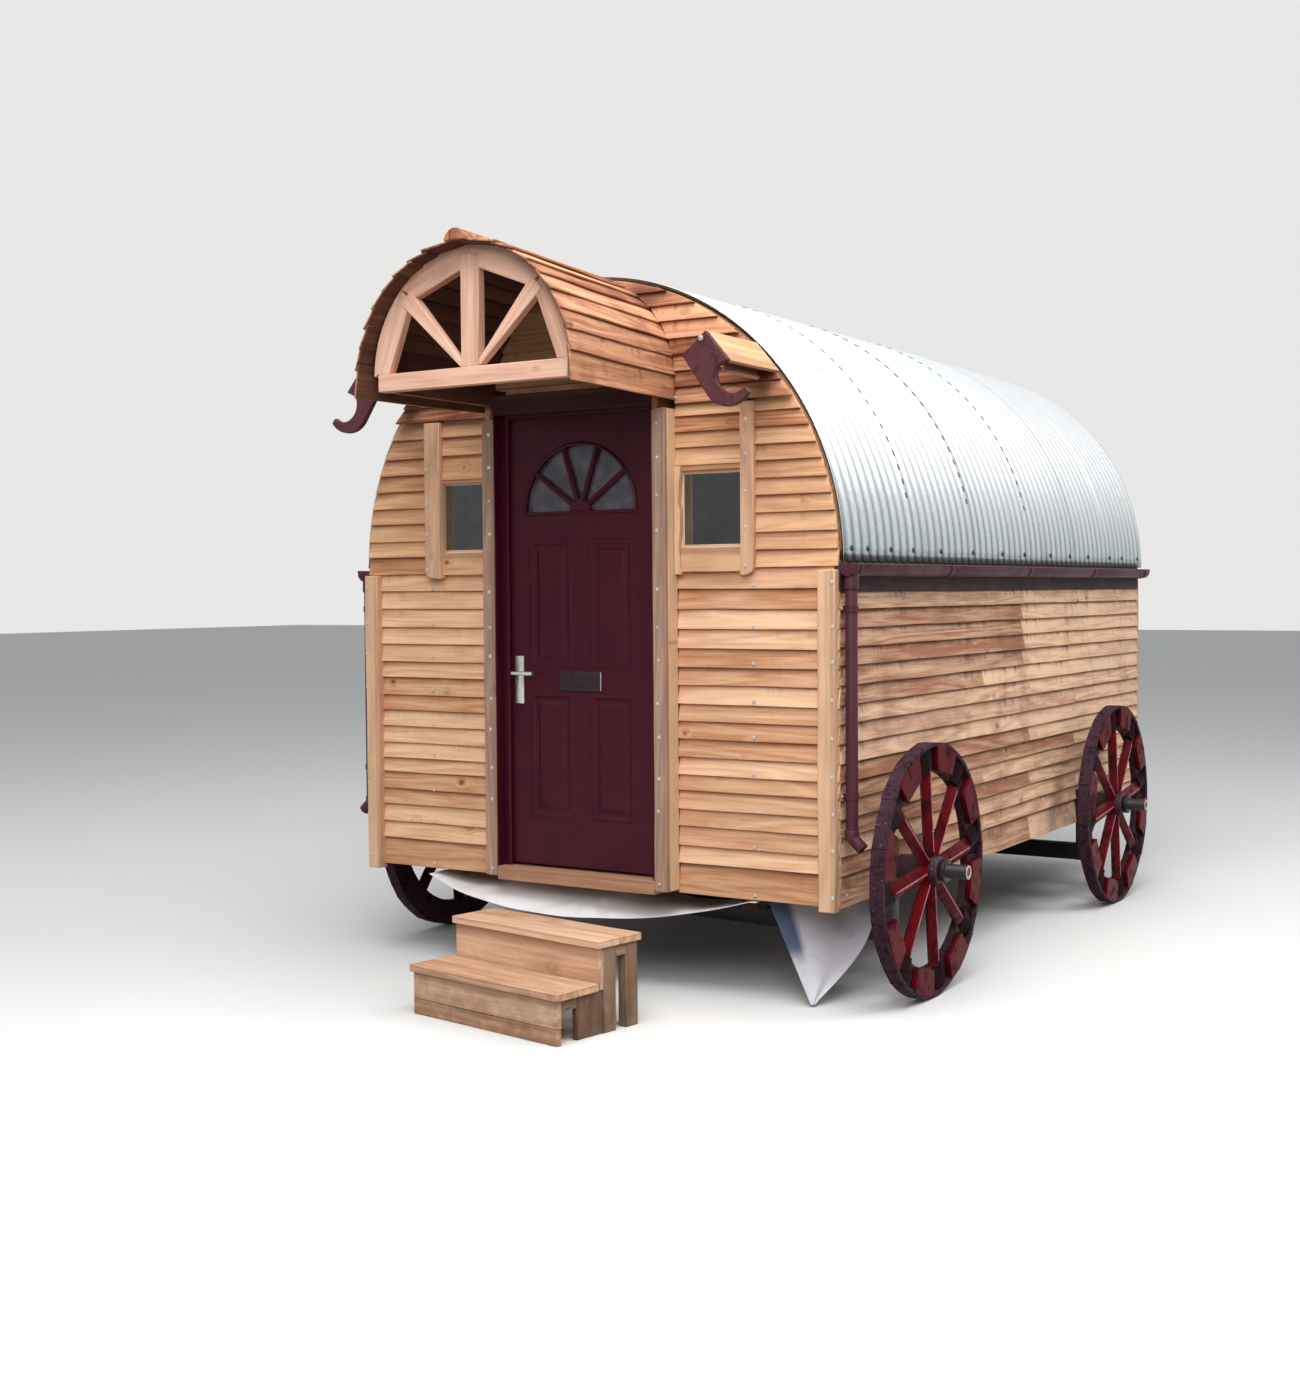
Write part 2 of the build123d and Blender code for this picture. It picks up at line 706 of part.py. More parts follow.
lower_panel_z = door_bottom + DOOR_BOTTOM_RAIL + DOOR_LOWER_PANEL / 2
upper_panel_z = door_bottom + DOOR_BOTTOM_RAIL + DOOR_LOWER_PANEL + DOOR_LOCK_RAIL + DOOR_UPPER_PANEL / 2
lock_rail_z = door_bottom + DOOR_BOTTOM_RAIL + DOOR_LOWER_PANEL + DOOR_LOCK_RAIL / 2
door_panel_width = (door_width - 2 * DOOR_STILE - DOOR_MUNTIN) / 2
door_panel_x = (DOOR_MUNTIN + door_panel_width) / 2


def door_panels():
    """The four sunk panels of the door."""
    for side in (-1, 1):
        with Locations((side * door_panel_x, lower_panel_z)):
            Rectangle(door_panel_width, DOOR_LOWER_PANEL)
        with Locations((side * door_panel_x, upper_panel_z)):
            Rectangle(door_panel_width, DOOR_UPPER_PANEL)


with BuildPart() as door_leaf:
    with BuildSketch(upright_plane(door_front)):
        panel(-door_width / 2, door_width / 2, door_bottom, door_top)
        with Locations((0, fan_z)):
            Circle(FAN_RADIUS, mode=Mode.SUBTRACT)
        panel(-FAN_RADIUS, FAN_RADIUS, fan_z - FAN_RADIUS, fan_z)
    extrude(amount=-DOOR_THICKNESS)
    with BuildSketch(upright_plane(door_front)):
        for i in range(FAN_BAR_COUNT):
            with Locations(Location((0, fan_z), (i + 1) * 180 / (FAN_BAR_COUNT + 1))):
                with Locations((FAN_RADIUS / 2, 0)):
                    Rectangle(FAN_RADIUS, FAN_BAR)
        with Locations((0, fan_z)):
            Circle(FAN_HUB)
        panel(-FAN_RADIUS, FAN_RADIUS, fan_z - FAN_HUB, fan_z, mode=Mode.SUBTRACT)
    extrude(amount=-FAN_BAR_DEPTH)
    with BuildSketch(upright_plane(door_front)):
        door_panels()
    extrude(amount=-DOOR_PANEL_DEPTH, mode=Mode.SUBTRACT)
    with BuildSketch(upright_plane(door_back)):
        door_panels()
    extrude(amount=DOOR_PANEL_DEPTH, mode=Mode.SUBTRACT)
save(door_leaf.part, "door_leaf")

with BuildPart() as fan_glass:
    with BuildSketch(upright_plane(door_front + FAN_BAR_DEPTH)):
        with Locations((0, fan_z)):
            Circle(FAN_RADIUS - SEAT)
        panel(-FAN_RADIUS, FAN_RADIUS, fan_z - FAN_RADIUS, fan_z + SEAT, mode=Mode.SUBTRACT)
    extrude(amount=-FAN_GLASS)
save(fan_glass.part, "fan_glass")

with BuildPart() as letter_plate:
    with BuildSketch(upright_plane(door_front)):
        with Locations((0, lock_rail_z)):
            Rectangle(LETTER_PLATE_WIDTH, LETTER_PLATE_HEIGHT)
    extrude(amount=LETTER_PLATE_THICKNESS)
save(letter_plate.part, "letter_plate")

handle_x = -(door_width - DOOR_STILE) / 2

with BuildPart() as door_handle:
    with BuildSketch(upright_plane(door_front)):
        with Locations((handle_x, lock_rail_z)):
            Rectangle(HANDLE_PLATE_WIDTH, HANDLE_PLATE_HEIGHT)
    extrude(amount=HANDLE_PLATE_THICKNESS)
    with BuildSketch(upright_plane(door_front)):
        with Locations((handle_x, lock_rail_z + HANDLE_DROP)):
            Circle(HANDLE_RADIUS)
    extrude(amount=HANDLE_REACH)
    with BuildSketch(Plane(origin=(handle_x - HANDLE_RADIUS, 0, 0), x_dir=(0, 1, 0), z_dir=(1, 0, 0))):
        with Locations((door_front - HANDLE_REACH, lock_rail_z + HANDLE_DROP)):
            Circle(HANDLE_RADIUS)
    extrude(amount=HANDLE_BAR)
save(door_handle.part, "door_handle")


def hinge_heights():
    """The middle of each hinge's barrel."""
    low = door_bottom + HINGE_EDGE_INSET
    high = door_top - HINGE_EDGE_INSET
    return [low + i * (high - low) / (HINGE_COUNT - 1) for i in range(HINGE_COUNT)]


def hinge_disc(z, radius, height, mode=Mode.ADD):
    """A short upright cylinder on the hinge's axis, from height z."""
    with Locations((hinge_x, hinge_y, z + height / 2)):
        Cylinder(radius, height, mode=mode)


with BuildPart() as door_hinge_flaps:
    for z in hinge_heights():
        barrel_low = z - HINGE_BARREL / 2
        block(
            (hinge_x - HINGE_FLAP_WIDTH, door_back, barrel_low),
            (hinge_x, door_back + HINGE_FLAP, barrel_low + HINGE_BARREL),
        )
        hinge_disc(barrel_low, HINGE_RADIUS, HINGE_BARREL)
        hinge_disc(barrel_low, HINGE_PIN_RADIUS + HINGE_PIN_CLEARANCE, HINGE_BARREL, mode=Mode.SUBTRACT)
save(door_hinge_flaps.part, "door_hinge_flaps")

with BuildPart() as door_hinge_pins:
    lug_start = HINGE_BARREL / 2 + HINGE_LUG_GAP
    jamb_face = half_opening - FRAME_JAMB
    for z in hinge_heights():
        hinge_disc(z - lug_start - HINGE_LUG, HINGE_PIN_RADIUS, 2 * (lug_start + HINGE_LUG))
        for lug_bottom in (z - lug_start - HINGE_LUG, z + lug_start):
            hinge_disc(lug_bottom, HINGE_RADIUS, HINGE_LUG)
            block(
                (hinge_x, hinge_y - HINGE_FLAP / 2, lug_bottom),
                (jamb_face, hinge_y + HINGE_FLAP / 2, lug_bottom + HINGE_LUG),
            )
save(door_hinge_pins.part, "door_hinge_pins")


# Windows and their trim

with BuildPart() as window_frames:
    for window_x, width, *_ in WINDOWS:
        with BuildSketch(upright_plane(front_y)):
            with Locations((window_x, WINDOW_Z)):
                Rectangle(width, WINDOW_HEIGHT)
                Rectangle(width - 2 * WINDOW_FRAME, WINDOW_HEIGHT - 2 * WINDOW_FRAME, mode=Mode.SUBTRACT)
        extrude(amount=-WINDOW_FRAME_DEPTH)
save(window_frames.part, "window_frames")

with BuildPart() as window_glass:
    for window_x, width, *_ in WINDOWS:
        with BuildSketch(upright_plane(front_y + WINDOW_GLASS_SETBACK)):
            with Locations((window_x, WINDOW_Z)):
                Rectangle(width - 2 * WINDOW_FRAME, WINDOW_HEIGHT - 2 * WINDOW_FRAME)
        extrude(amount=-WINDOW_GLASS)
save(window_glass.part, "window_glass")

# Each window's trim is drawn on the side where its window is, outwards from the doorway
with BuildPart() as window_trim:
    post_side = post_edge + TRIM_POST_GAP
    for window_x, width, reach, batten_width, batten_depth in WINDOWS:
        side = 1 if window_x > 0 else -1
        inner_edge = side * window_x - width / 2 + WINDOW_FRAME
        outer_edge = side * window_x + reach
        with BuildSketch(upright_plane(front_y - batten_depth)):
            near, far = sorted((side * outer_edge, side * (outer_edge + batten_width)))
            panel(near, far, TRIM_BOTTOM, TRIM_TOP)
        extrude(amount=-batten_depth)
        with BuildSketch(upright_plane(front_y - TRIM_INNER_DEPTH)):
            near, far = sorted((side * post_side, side * inner_edge))
            panel(near, far, TRIM_BOTTOM, TRIM_INNER_TOP)
        extrude(amount=-TRIM_INNER_DEPTH)
        with BuildSketch(upright_plane(front_y - APRON_DEPTH)):
            near, far = sorted((side * inner_edge, side * outer_edge))
            panel(near, far, APRON_BOTTOM, APRON_BOTTOM + APRON_HEIGHT)
        extrude(amount=-APRON_DEPTH)
save(window_trim.part, "window_trim")


# The gable skirt and the hood

def make_skirt(name, side):
    """The proud boarding on one side of the hood, cut to the arch and round the hood."""
    hood_cut = HOOD_WALL_RADIUS + SKIRT_HOOD_GAP
    with BuildPart() as skirt:
        with BuildSketch(upright_plane(front_y - SKIRT_DEPTH)):
            with Locations((0, EAVES_Z)):
                Circle(half_width)
            near, far = sorted((0, side * half_width))
            panel(near, far, SKIRT_BOTTOM, EAVES_Z + half_width, mode=Mode.INTERSECT)
            with Locations((0, HOOD_WALL_Z)):
                Circle(hood_cut, mode=Mode.SUBTRACT)
            panel(-hood_cut, hood_cut, SKIRT_BOTTOM, HOOD_WALL_Z, mode=Mode.SUBTRACT)
        extrude(amount=-SKIRT_DEPTH)
    save(skirt.part, name)


make_skirt("gable_skirt_left", -1)
make_skirt("gable_skirt_right", 1)

hood_front = front_y - HOOD_REACH
truss_front = hood_front + TRUSS_SETBACK
truss_back = truss_front + TRUSS_THICKNESS
chord_top = CHORD_BOTTOM + CHORD_HEIGHT

with BuildPart() as hood_truss:
    with BuildSketch(upright_plane(truss_front)):
        with Locations((0, TRUSS_Z)):
            Circle(TRUSS_RADIUS)
        panel(-TRUSS_RADIUS, TRUSS_RADIUS, TRUSS_Z, TRUSS_Z + TRUSS_RADIUS, mode=Mode.INTERSECT)
        panel(-TRUSS_RADIUS, TRUSS_RADIUS, CHORD_BOTTOM, TRUSS_Z)
        knee_cut = TRUSS_KNEE_CUT * sin(radians(45))
        right_points = [
            (TRUSS_INNER_FOOT_X, chord_top),
            (TRUSS_KNEE_X + knee_cut, TRUSS_KNEE_Z - knee_cut),
            (TRUSS_KNEE_X - knee_cut, TRUSS_KNEE_Z + knee_cut),
            (TRUSS_INNER_TOP_X, TRUSS_INNER_TOP_Z),
        ]
        left_points = [(-x, z) for x, z in reversed(right_points)]
        with BuildLine():
            Polyline(*right_points, *left_points, close=True)
        make_face(mode=Mode.SUBTRACT)
        panel(-KING_POST_WIDTH / 2, KING_POST_WIDTH / 2, chord_top, TRUSS_INNER_TOP_Z)
        for side in (-1, 1):
            strut_run = TRUSS_KNEE_X - STRUT_FOOT_X
            strut_rise = TRUSS_KNEE_Z - chord_top
            middle = (side * (STRUT_FOOT_X + TRUSS_KNEE_X) / 2, (chord_top + TRUSS_KNEE_Z) / 2)
            with Locations(Location(middle, degrees(atan2(strut_rise, side * strut_run)))):
                Rectangle(hypot(strut_run, strut_rise), STRUT_WIDTH)
        foot_cut = (TRUSS_RADIUS - CHORD_WIDTH / 2) / 2
        for side in (-1, 1):
            with Locations((side * (TRUSS_RADIUS - foot_cut / 2), (CHORD_BOTTOM + TRUSS_Z) / 2)):
                Rectangle(foot_cut, TRUSS_Z - CHORD_BOTTOM, mode=Mode.SUBTRACT)
    extrude(amount=-TRUSS_THICKNESS)
save(hood_truss.part, "hood_truss")

def along_hood(at_front, at_wall, y):
    """A size of the hood that changes evenly from its front edge to the wall, at depth y."""
    return at_front + (at_wall - at_front) * (y - hood_front) / HOOD_REACH


inside_front_radius = TRUSS_RADIUS + TRUSS_CLEARANCE
inside_slope = (inside_front_radius - HOOD_INSIDE_WALL_RADIUS) / (front_y - truss_back)
inside_front_radius += inside_slope * (truss_back - hood_front)

with BuildPart() as hood_shell:
    shell_sizes = (
        (HOOD_FRONT_RADIUS, HOOD_WALL_RADIUS, HOOD_FRONT_Z, HOOD_WALL_Z, 0, Mode.ADD),
        (inside_front_radius, HOOD_INSIDE_WALL_RADIUS, TRUSS_Z, TRUSS_Z, 1, Mode.SUBTRACT),
    )
    for front_radius, wall_radius, front_z, wall_z, beyond, mode in shell_sizes:
        for y in (hood_front - beyond, front_y + beyond):
            radius = along_hood(front_radius, wall_radius, y)
            centre_z = along_hood(front_z, wall_z, y)
            with BuildSketch(upright_plane(y)):
                with BuildLine():
                    foot = Line((-radius, HOOD_BOTTOM - beyond), (radius, HOOD_BOTTOM - beyond))
                    right_side = Line(foot @ 1, (radius, centre_z))
                    crown = ThreePointArc(right_side @ 1, (0, centre_z + radius), (-radius, centre_z))
                    Line(crown @ 1, foot @ 0)
                make_face()
        loft(ruled=True, mode=mode)
save(hood_shell.part, "hood_shell")

# The ridge piece follows the fall of the hood's top towards the wall
with BuildPart() as hood_ridge:
    hood_top = HOOD_FRONT_Z + HOOD_FRONT_RADIUS
    hood_fall = hood_top - HOOD_WALL_Z - HOOD_WALL_RADIUS
    run = hypot(HOOD_REACH, hood_fall)
    along = (0, HOOD_REACH / run, -hood_fall / run)
    overhang = (RIDGE_FRONT_REACH - HOOD_REACH) * run / HOOD_REACH
    start = (0, hood_front - overhang * along[1], hood_top + SEAT - overhang * along[2])
    with BuildSketch(Plane(origin=start, x_dir=(1, 0, 0), z_dir=tuple(-part for part in along))):
        with Locations((0, RIDGE_HEIGHT - RIDGE_RADIUS)):
            Circle(RIDGE_RADIUS)
        panel(-RIDGE_RADIUS, RIDGE_RADIUS, 0, RIDGE_HEIGHT, mode=Mode.INTERSECT)
    extrude(amount=-(overhang + run + RIDGE_OVER_ROOF))
save(hood_ridge.part, "hood_ridge")

with BuildPart() as hood_bearers:
    both_sides(
        (half_opening, truss_back, CHORD_BOTTOM),
        (half_opening + HOOD_BEARER_WIDTH, front_y, chord_top),
    )
    both_sides(
        (half_opening, front_y - HOOD_BLOCK_DEPTH, DOOR_POST_TOP),
        (half_opening + HOOD_BLOCK_WIDTH, front_y, CHORD_BOTTOM),
    )
save(hood_bearers.part, "hood_bearers")


# The hooks

def hook_point(side, along, inward):
    """A point of the hook's plate, from its upper corner along its slope and in from its outer edge."""
    tilt = radians(HOOK_TILT)
    x = hook_top_x + along * cos(tilt) - inward * sin(tilt)
    z = hook_top_z - along * sin(tilt) - inward * cos(tilt)
    return (side * x, z)


def hook_strip(side, along, inward):
    """A straight-sided strip between two distances along the slope and two inward ones."""
    corners = [
        hook_point(side, along[0], inward[0]),
        hook_point(side, along[1], inward[0]),
        hook_point(side, along[1], inward[1]),
        hook_point(side, along[0], inward[1]),
    ]
    Polygon(*corners, align=None)


hook_back = front_y - HOOK_REACH + HOOK_THICKNESS

with BuildPart() as wall_hooks:
    for side in (-1, 1):
        with BuildSketch(upright_plane(front_y - HOOK_REACH)):
            with BuildLine():
                Line(hook_point(side, 0, HOOK_PLATE_WIDTH), hook_point(side, 0, 0))
                Line(hook_point(side, 0, 0), hook_point(side, HOOK_PLATE_LENGTH + HOOK_TIP, 0))
                Line(
                    hook_point(side, HOOK_PLATE_LENGTH + HOOK_TIP, 0),
                    hook_point(side, HOOK_PLATE_LENGTH, HOOK_TIP_IN),
                )
                ThreePointArc(
                    hook_point(side, HOOK_PLATE_LENGTH, HOOK_TIP_IN),
                    hook_point(side, HOOK_THROAT_ALONG, HOOK_THROAT_IN),
                    hook_point(side, HOOK_LIP_START, HOOK_TIP),
                )
                Line(
                    hook_point(side, HOOK_LIP_START, HOOK_TIP),
                    hook_point(side, HOOK_LIP_START + HOOK_LIP, HOOK_TIP),
                )
                ThreePointArc(
                    hook_point(side, HOOK_LIP_START + HOOK_LIP, HOOK_TIP),
                    hook_point(side, HOOK_BACK_ALONG, HOOK_BACK_IN),
                    hook_point(side, HOOK_NECK_ALONG, HOOK_NECK_IN),
                )
                Line(
                    hook_point(side, HOOK_NECK_ALONG, HOOK_NECK_IN),
                    hook_point(side, 0, HOOK_PLATE_WIDTH),
                )
            make_face()
        extrude(amount=-HOOK_THICKNESS)
save(wall_hooks.part, "wall_hooks")

with BuildPart() as hook_lids:
    for side in (-1, 1):
        with BuildSketch(upright_plane(hook_back)):
            hook_strip(side, (0, LID_WIDTH), (0, LID_THICKNESS))
        extrude(amount=-(HOOK_REACH - HOOK_THICKNESS - SKIRT_DEPTH))
save(hook_lids.part, "hook_lids")

with BuildPart() as hook_beams:
    for side in (-1, 1):
        with BuildSketch(upright_plane(hook_back)):
            beam_start = (HOOK_PLATE_LENGTH - HOOK_BEAM_WIDTH) / 2
            hook_strip(
                side,
                (beam_start, beam_start + HOOK_BEAM_WIDTH),
                (LID_THICKNESS, LID_THICKNESS + HOOK_BEAM_DEPTH),
            )
        extrude(amount=-(HOOK_REACH - HOOK_THICKNESS - SKIRT_DEPTH))
save(hook_beams.part, "hook_beams")


# The box stair, drawn from its nearest corner with X along its treads and Y up the flight

stair_plane = Plane(
    origin=(STAIR_CORNER_X, front_y - STAIR_REACH, 0),
    x_dir=(cos(radians(STAIR_TURN)), sin(radians(STAIR_TURN)), 0),
    z_dir=(0, 0, 1),
)
tread_board = (STAIR_TREAD_DEPTH - STAIR_BOARD_GAP) / 2
upper_tread_y = STAIR_TREAD_DEPTH - STAIR_NOSING
riser_right = -STAIR_END_INSET
riser_left = STAIR_END_INSET - STAIR_WIDTH

with BuildPart(stair_plane) as stair_treads:
    for front, top in ((0, STAIR_LOWER_TOP), (upper_tread_y, STAIR_UPPER_TOP)):
        depth = tread_board if top == STAIR_UPPER_TOP else tread_board - STAIR_NOSING / 2
        for i in range(2):
            board_front = front + i * (depth + STAIR_BOARD_GAP)
            block(
                (-STAIR_WIDTH, board_front, top - STAIR_TREAD),
                (0, board_front + depth, top),
            )
save(stair_treads.part, "stair_treads")

with BuildPart(stair_plane) as stair_risers:
    block(
        (riser_left, STAIR_NOSING, 0),
        (riser_right, STAIR_NOSING + STAIR_RISER, STAIR_LOWER_TOP - STAIR_TREAD),
    )
    upper_riser_y = upper_tread_y + STAIR_NOSING
    block(
        (riser_left, upper_riser_y, STAIR_LOWER_TOP - STAIR_TREAD),
        (riser_right, upper_riser_y + STAIR_RISER, STAIR_UPPER_TOP - STAIR_TREAD),
    )
save(stair_risers.part, "stair_risers")

with BuildPart(stair_plane) as stair_frame:
    leg_front = upper_riser_y + STAIR_RISER
    leg_back = upper_tread_y + STAIR_TREAD_DEPTH - STAIR_NOSING - STAIR_LEG_WIDTH
    lower_underside = STAIR_LOWER_TOP - STAIR_TREAD
    upper_underside = STAIR_UPPER_TOP - STAIR_TREAD
    for x_low in (riser_left, riser_right - STAIR_LEG_THICKNESS):
        x_high = x_low + STAIR_LEG_THICKNESS
        block((x_low, leg_front, 0), (x_high, leg_front + STAIR_LEG_WIDTH, upper_underside))
        block((x_low, leg_back, 0), (x_high, leg_back + STAIR_LEG_WIDTH, upper_underside))
        block(
            (x_low, leg_front, upper_underside - STAIR_RAIL_HEIGHT),
            (x_high, leg_back + STAIR_LEG_WIDTH, upper_underside),
        )
        support_back = upper_riser_y
        block(
            (x_low + STAIR_SUPPORT_INSET, support_back - STAIR_SUPPORT_WIDTH, 0),
            (x_high - STAIR_SUPPORT_INSET, leg_front, lower_underside),
        )
        block(
            (x_low + STAIR_SUPPORT_INSET, STAIR_NOSING + STAIR_RISER, lower_underside - STAIR_RAIL_HEIGHT),
            (x_high - STAIR_SUPPORT_INSET, leg_front, lower_underside),
        )
save(stair_frame.part, "stair_frame")


# The sagging sheet and the loose membrane under the front

sheet_top = BODY_BOTTOM - SEAT

with BuildPart() as underfloor_sheet:
    with BuildSketch(upright_plane(front_y - SHEET_SAG_FRONT)):
        with BuildLine():
            sag_end = half_width - SHEET_SAG_INSET
            left_end = (-sag_end, sheet_top)
            right_end = (sag_end, sheet_top)
            low_point = (SHEET_SAG_LOW_X, SHEET_SAG_LOW_Z)
            upper = ThreePointArc(left_end, low_point, right_end)
            lower = ThreePointArc(
                (-sag_end, sheet_top - SHEET_SAG_THICKNESS),
                (SHEET_SAG_LOW_X, SHEET_SAG_LOW_Z - SHEET_SAG_THICKNESS),
                (sag_end, sheet_top - SHEET_SAG_THICKNESS),
            )
            Line(upper @ 0, lower @ 0)
            Line(upper @ 1, lower @ 1)
        make_face()
    extrude(amount=-(SHEET_SAG_FRONT + SHEET_SAG_BACK))
save(underfloor_sheet.part, "underfloor_sheet")

membrane_a = Vector(half_width - MEMBRANE_FRONT_INSET, front_y + MEMBRANE_FRONT_SETBACK, sheet_top)
membrane_b = Vector(half_width - MEMBRANE_SIDE_INSET, front_y + MEMBRANE_SIDE_SETBACK, sheet_top)
membrane_tip = Vector(half_width - MEMBRANE_TIP_INSET, front_y + MEMBRANE_TIP_SETBACK, MEMBRANE_TIP_Z)
membrane_normal = (membrane_b - membrane_a).cross(membrane_tip - membrane_a).normalized()
membrane_plane = Plane(origin=membrane_a, x_dir=membrane_b - membrane_a, z_dir=membrane_normal)

with BuildPart() as loose_membrane:
    with BuildSketch(membrane_plane):
        with BuildLine():
            corners = [membrane_plane.to_local_coords(p) for p in (membrane_a, membrane_b, membrane_tip)]
            Polyline(*[(p.X, p.Y) for p in corners], close=True)
        make_face()
    extrude(amount=MEMBRANE_THICKNESS, both=False)
save(loose_membrane.part, "loose_membrane")
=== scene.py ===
"""Looks for the shepherds hut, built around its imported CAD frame.

Sizes are in metres in the frame's own axes: X to the right as seen from the front, Y to the back and Z up.
"""

import json
import logging
import math
import random
from collections.abc import Callable, Iterable, Sequence
from dataclasses import dataclass, field
from enum import Enum

import bmesh
import bpy
from mathutils import Matrix, Vector, noise

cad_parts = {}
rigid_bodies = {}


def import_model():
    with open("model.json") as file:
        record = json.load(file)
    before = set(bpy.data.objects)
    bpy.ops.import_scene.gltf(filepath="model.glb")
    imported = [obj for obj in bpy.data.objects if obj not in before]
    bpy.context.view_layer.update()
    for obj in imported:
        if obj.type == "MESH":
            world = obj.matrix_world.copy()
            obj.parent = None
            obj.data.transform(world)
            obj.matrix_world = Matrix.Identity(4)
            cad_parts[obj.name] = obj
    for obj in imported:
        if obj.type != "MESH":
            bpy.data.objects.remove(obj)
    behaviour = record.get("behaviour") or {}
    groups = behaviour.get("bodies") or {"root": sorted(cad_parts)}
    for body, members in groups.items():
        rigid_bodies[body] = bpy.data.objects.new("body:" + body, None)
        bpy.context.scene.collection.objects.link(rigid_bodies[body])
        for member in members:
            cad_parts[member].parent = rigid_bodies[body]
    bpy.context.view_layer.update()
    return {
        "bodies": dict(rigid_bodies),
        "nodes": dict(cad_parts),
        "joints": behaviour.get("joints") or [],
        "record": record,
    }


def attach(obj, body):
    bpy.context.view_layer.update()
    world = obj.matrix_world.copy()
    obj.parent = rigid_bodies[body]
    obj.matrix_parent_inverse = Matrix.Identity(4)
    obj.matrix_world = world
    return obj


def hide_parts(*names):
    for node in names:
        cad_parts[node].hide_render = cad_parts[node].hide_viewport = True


LOG = logging.getLogger("shepherds_hut")

# The planes and lines of the frame that pieces are set against
FRONT, REAR, HALF = -1.544, 2.516, 1.22
EAVES, ARCH = 1.812, 1.222
POST_EDGE = 0.475
LEAF_FRONT, LEAF_BACK = FRONT - 0.03, FRONT + 0.014
ROOF_FIRST, ROOF_PITCH = 0.01, 4.075 / 53
WHEEL_RADIUS = 0.533
SIDES = (-1, 1)

# How close points are merged, and the seed of the noise that bends timbers and sheets
MERGED = 1e-5
NOISE_SEED = 7

Colour = tuple[float, float, float, float]
Shade = tuple[int, int, int]
Point = tuple[float, float]
Trim = tuple[Vector, Vector]
Mesh = bmesh.types.BMesh
Socket = bpy.types.NodeSocket


def tint(red: int, green: int, blue: int) -> Colour:
    """Turn a colour as it looks, 0 to 255, into a linear one.

    Args:
        red: The red part.
        green: The green part.
        blue: The blue part.

    Returns:
        The linear colour, with full cover.
    """

    def straight(part: int) -> float:
        """Undo the screen's curve for one part."""
        share = part / 255
        return share / 12.92 if share <= 0.04045 else ((share + 0.055) / 1.055) ** 2.4

    return (straight(red), straight(green), straight(blue), 1.0)


class Slot(Enum):
    """The record's material slots."""

    FRESH = "fresh_boards"
    WEATHERED = "weathered_boards"
    DOOR = "door_paint"
    WINDOW = "window_paint"
    ROOF = "galvanised_sheet"
    GUTTER = "gutter_brown"
    HOOK = "hook_brown"
    WHEEL_RED = "wheel_red"
    WHEEL_BROWN = "wheel_brown"
    IRON = "axle_iron"
    BRIGHT = "bright_fittings"
    WHITE = "white_sheet"


class Along(Enum):
    """The axis that a timber's grain follows."""

    X = 0
    Y = 1
    Z = 2


# Shader parts


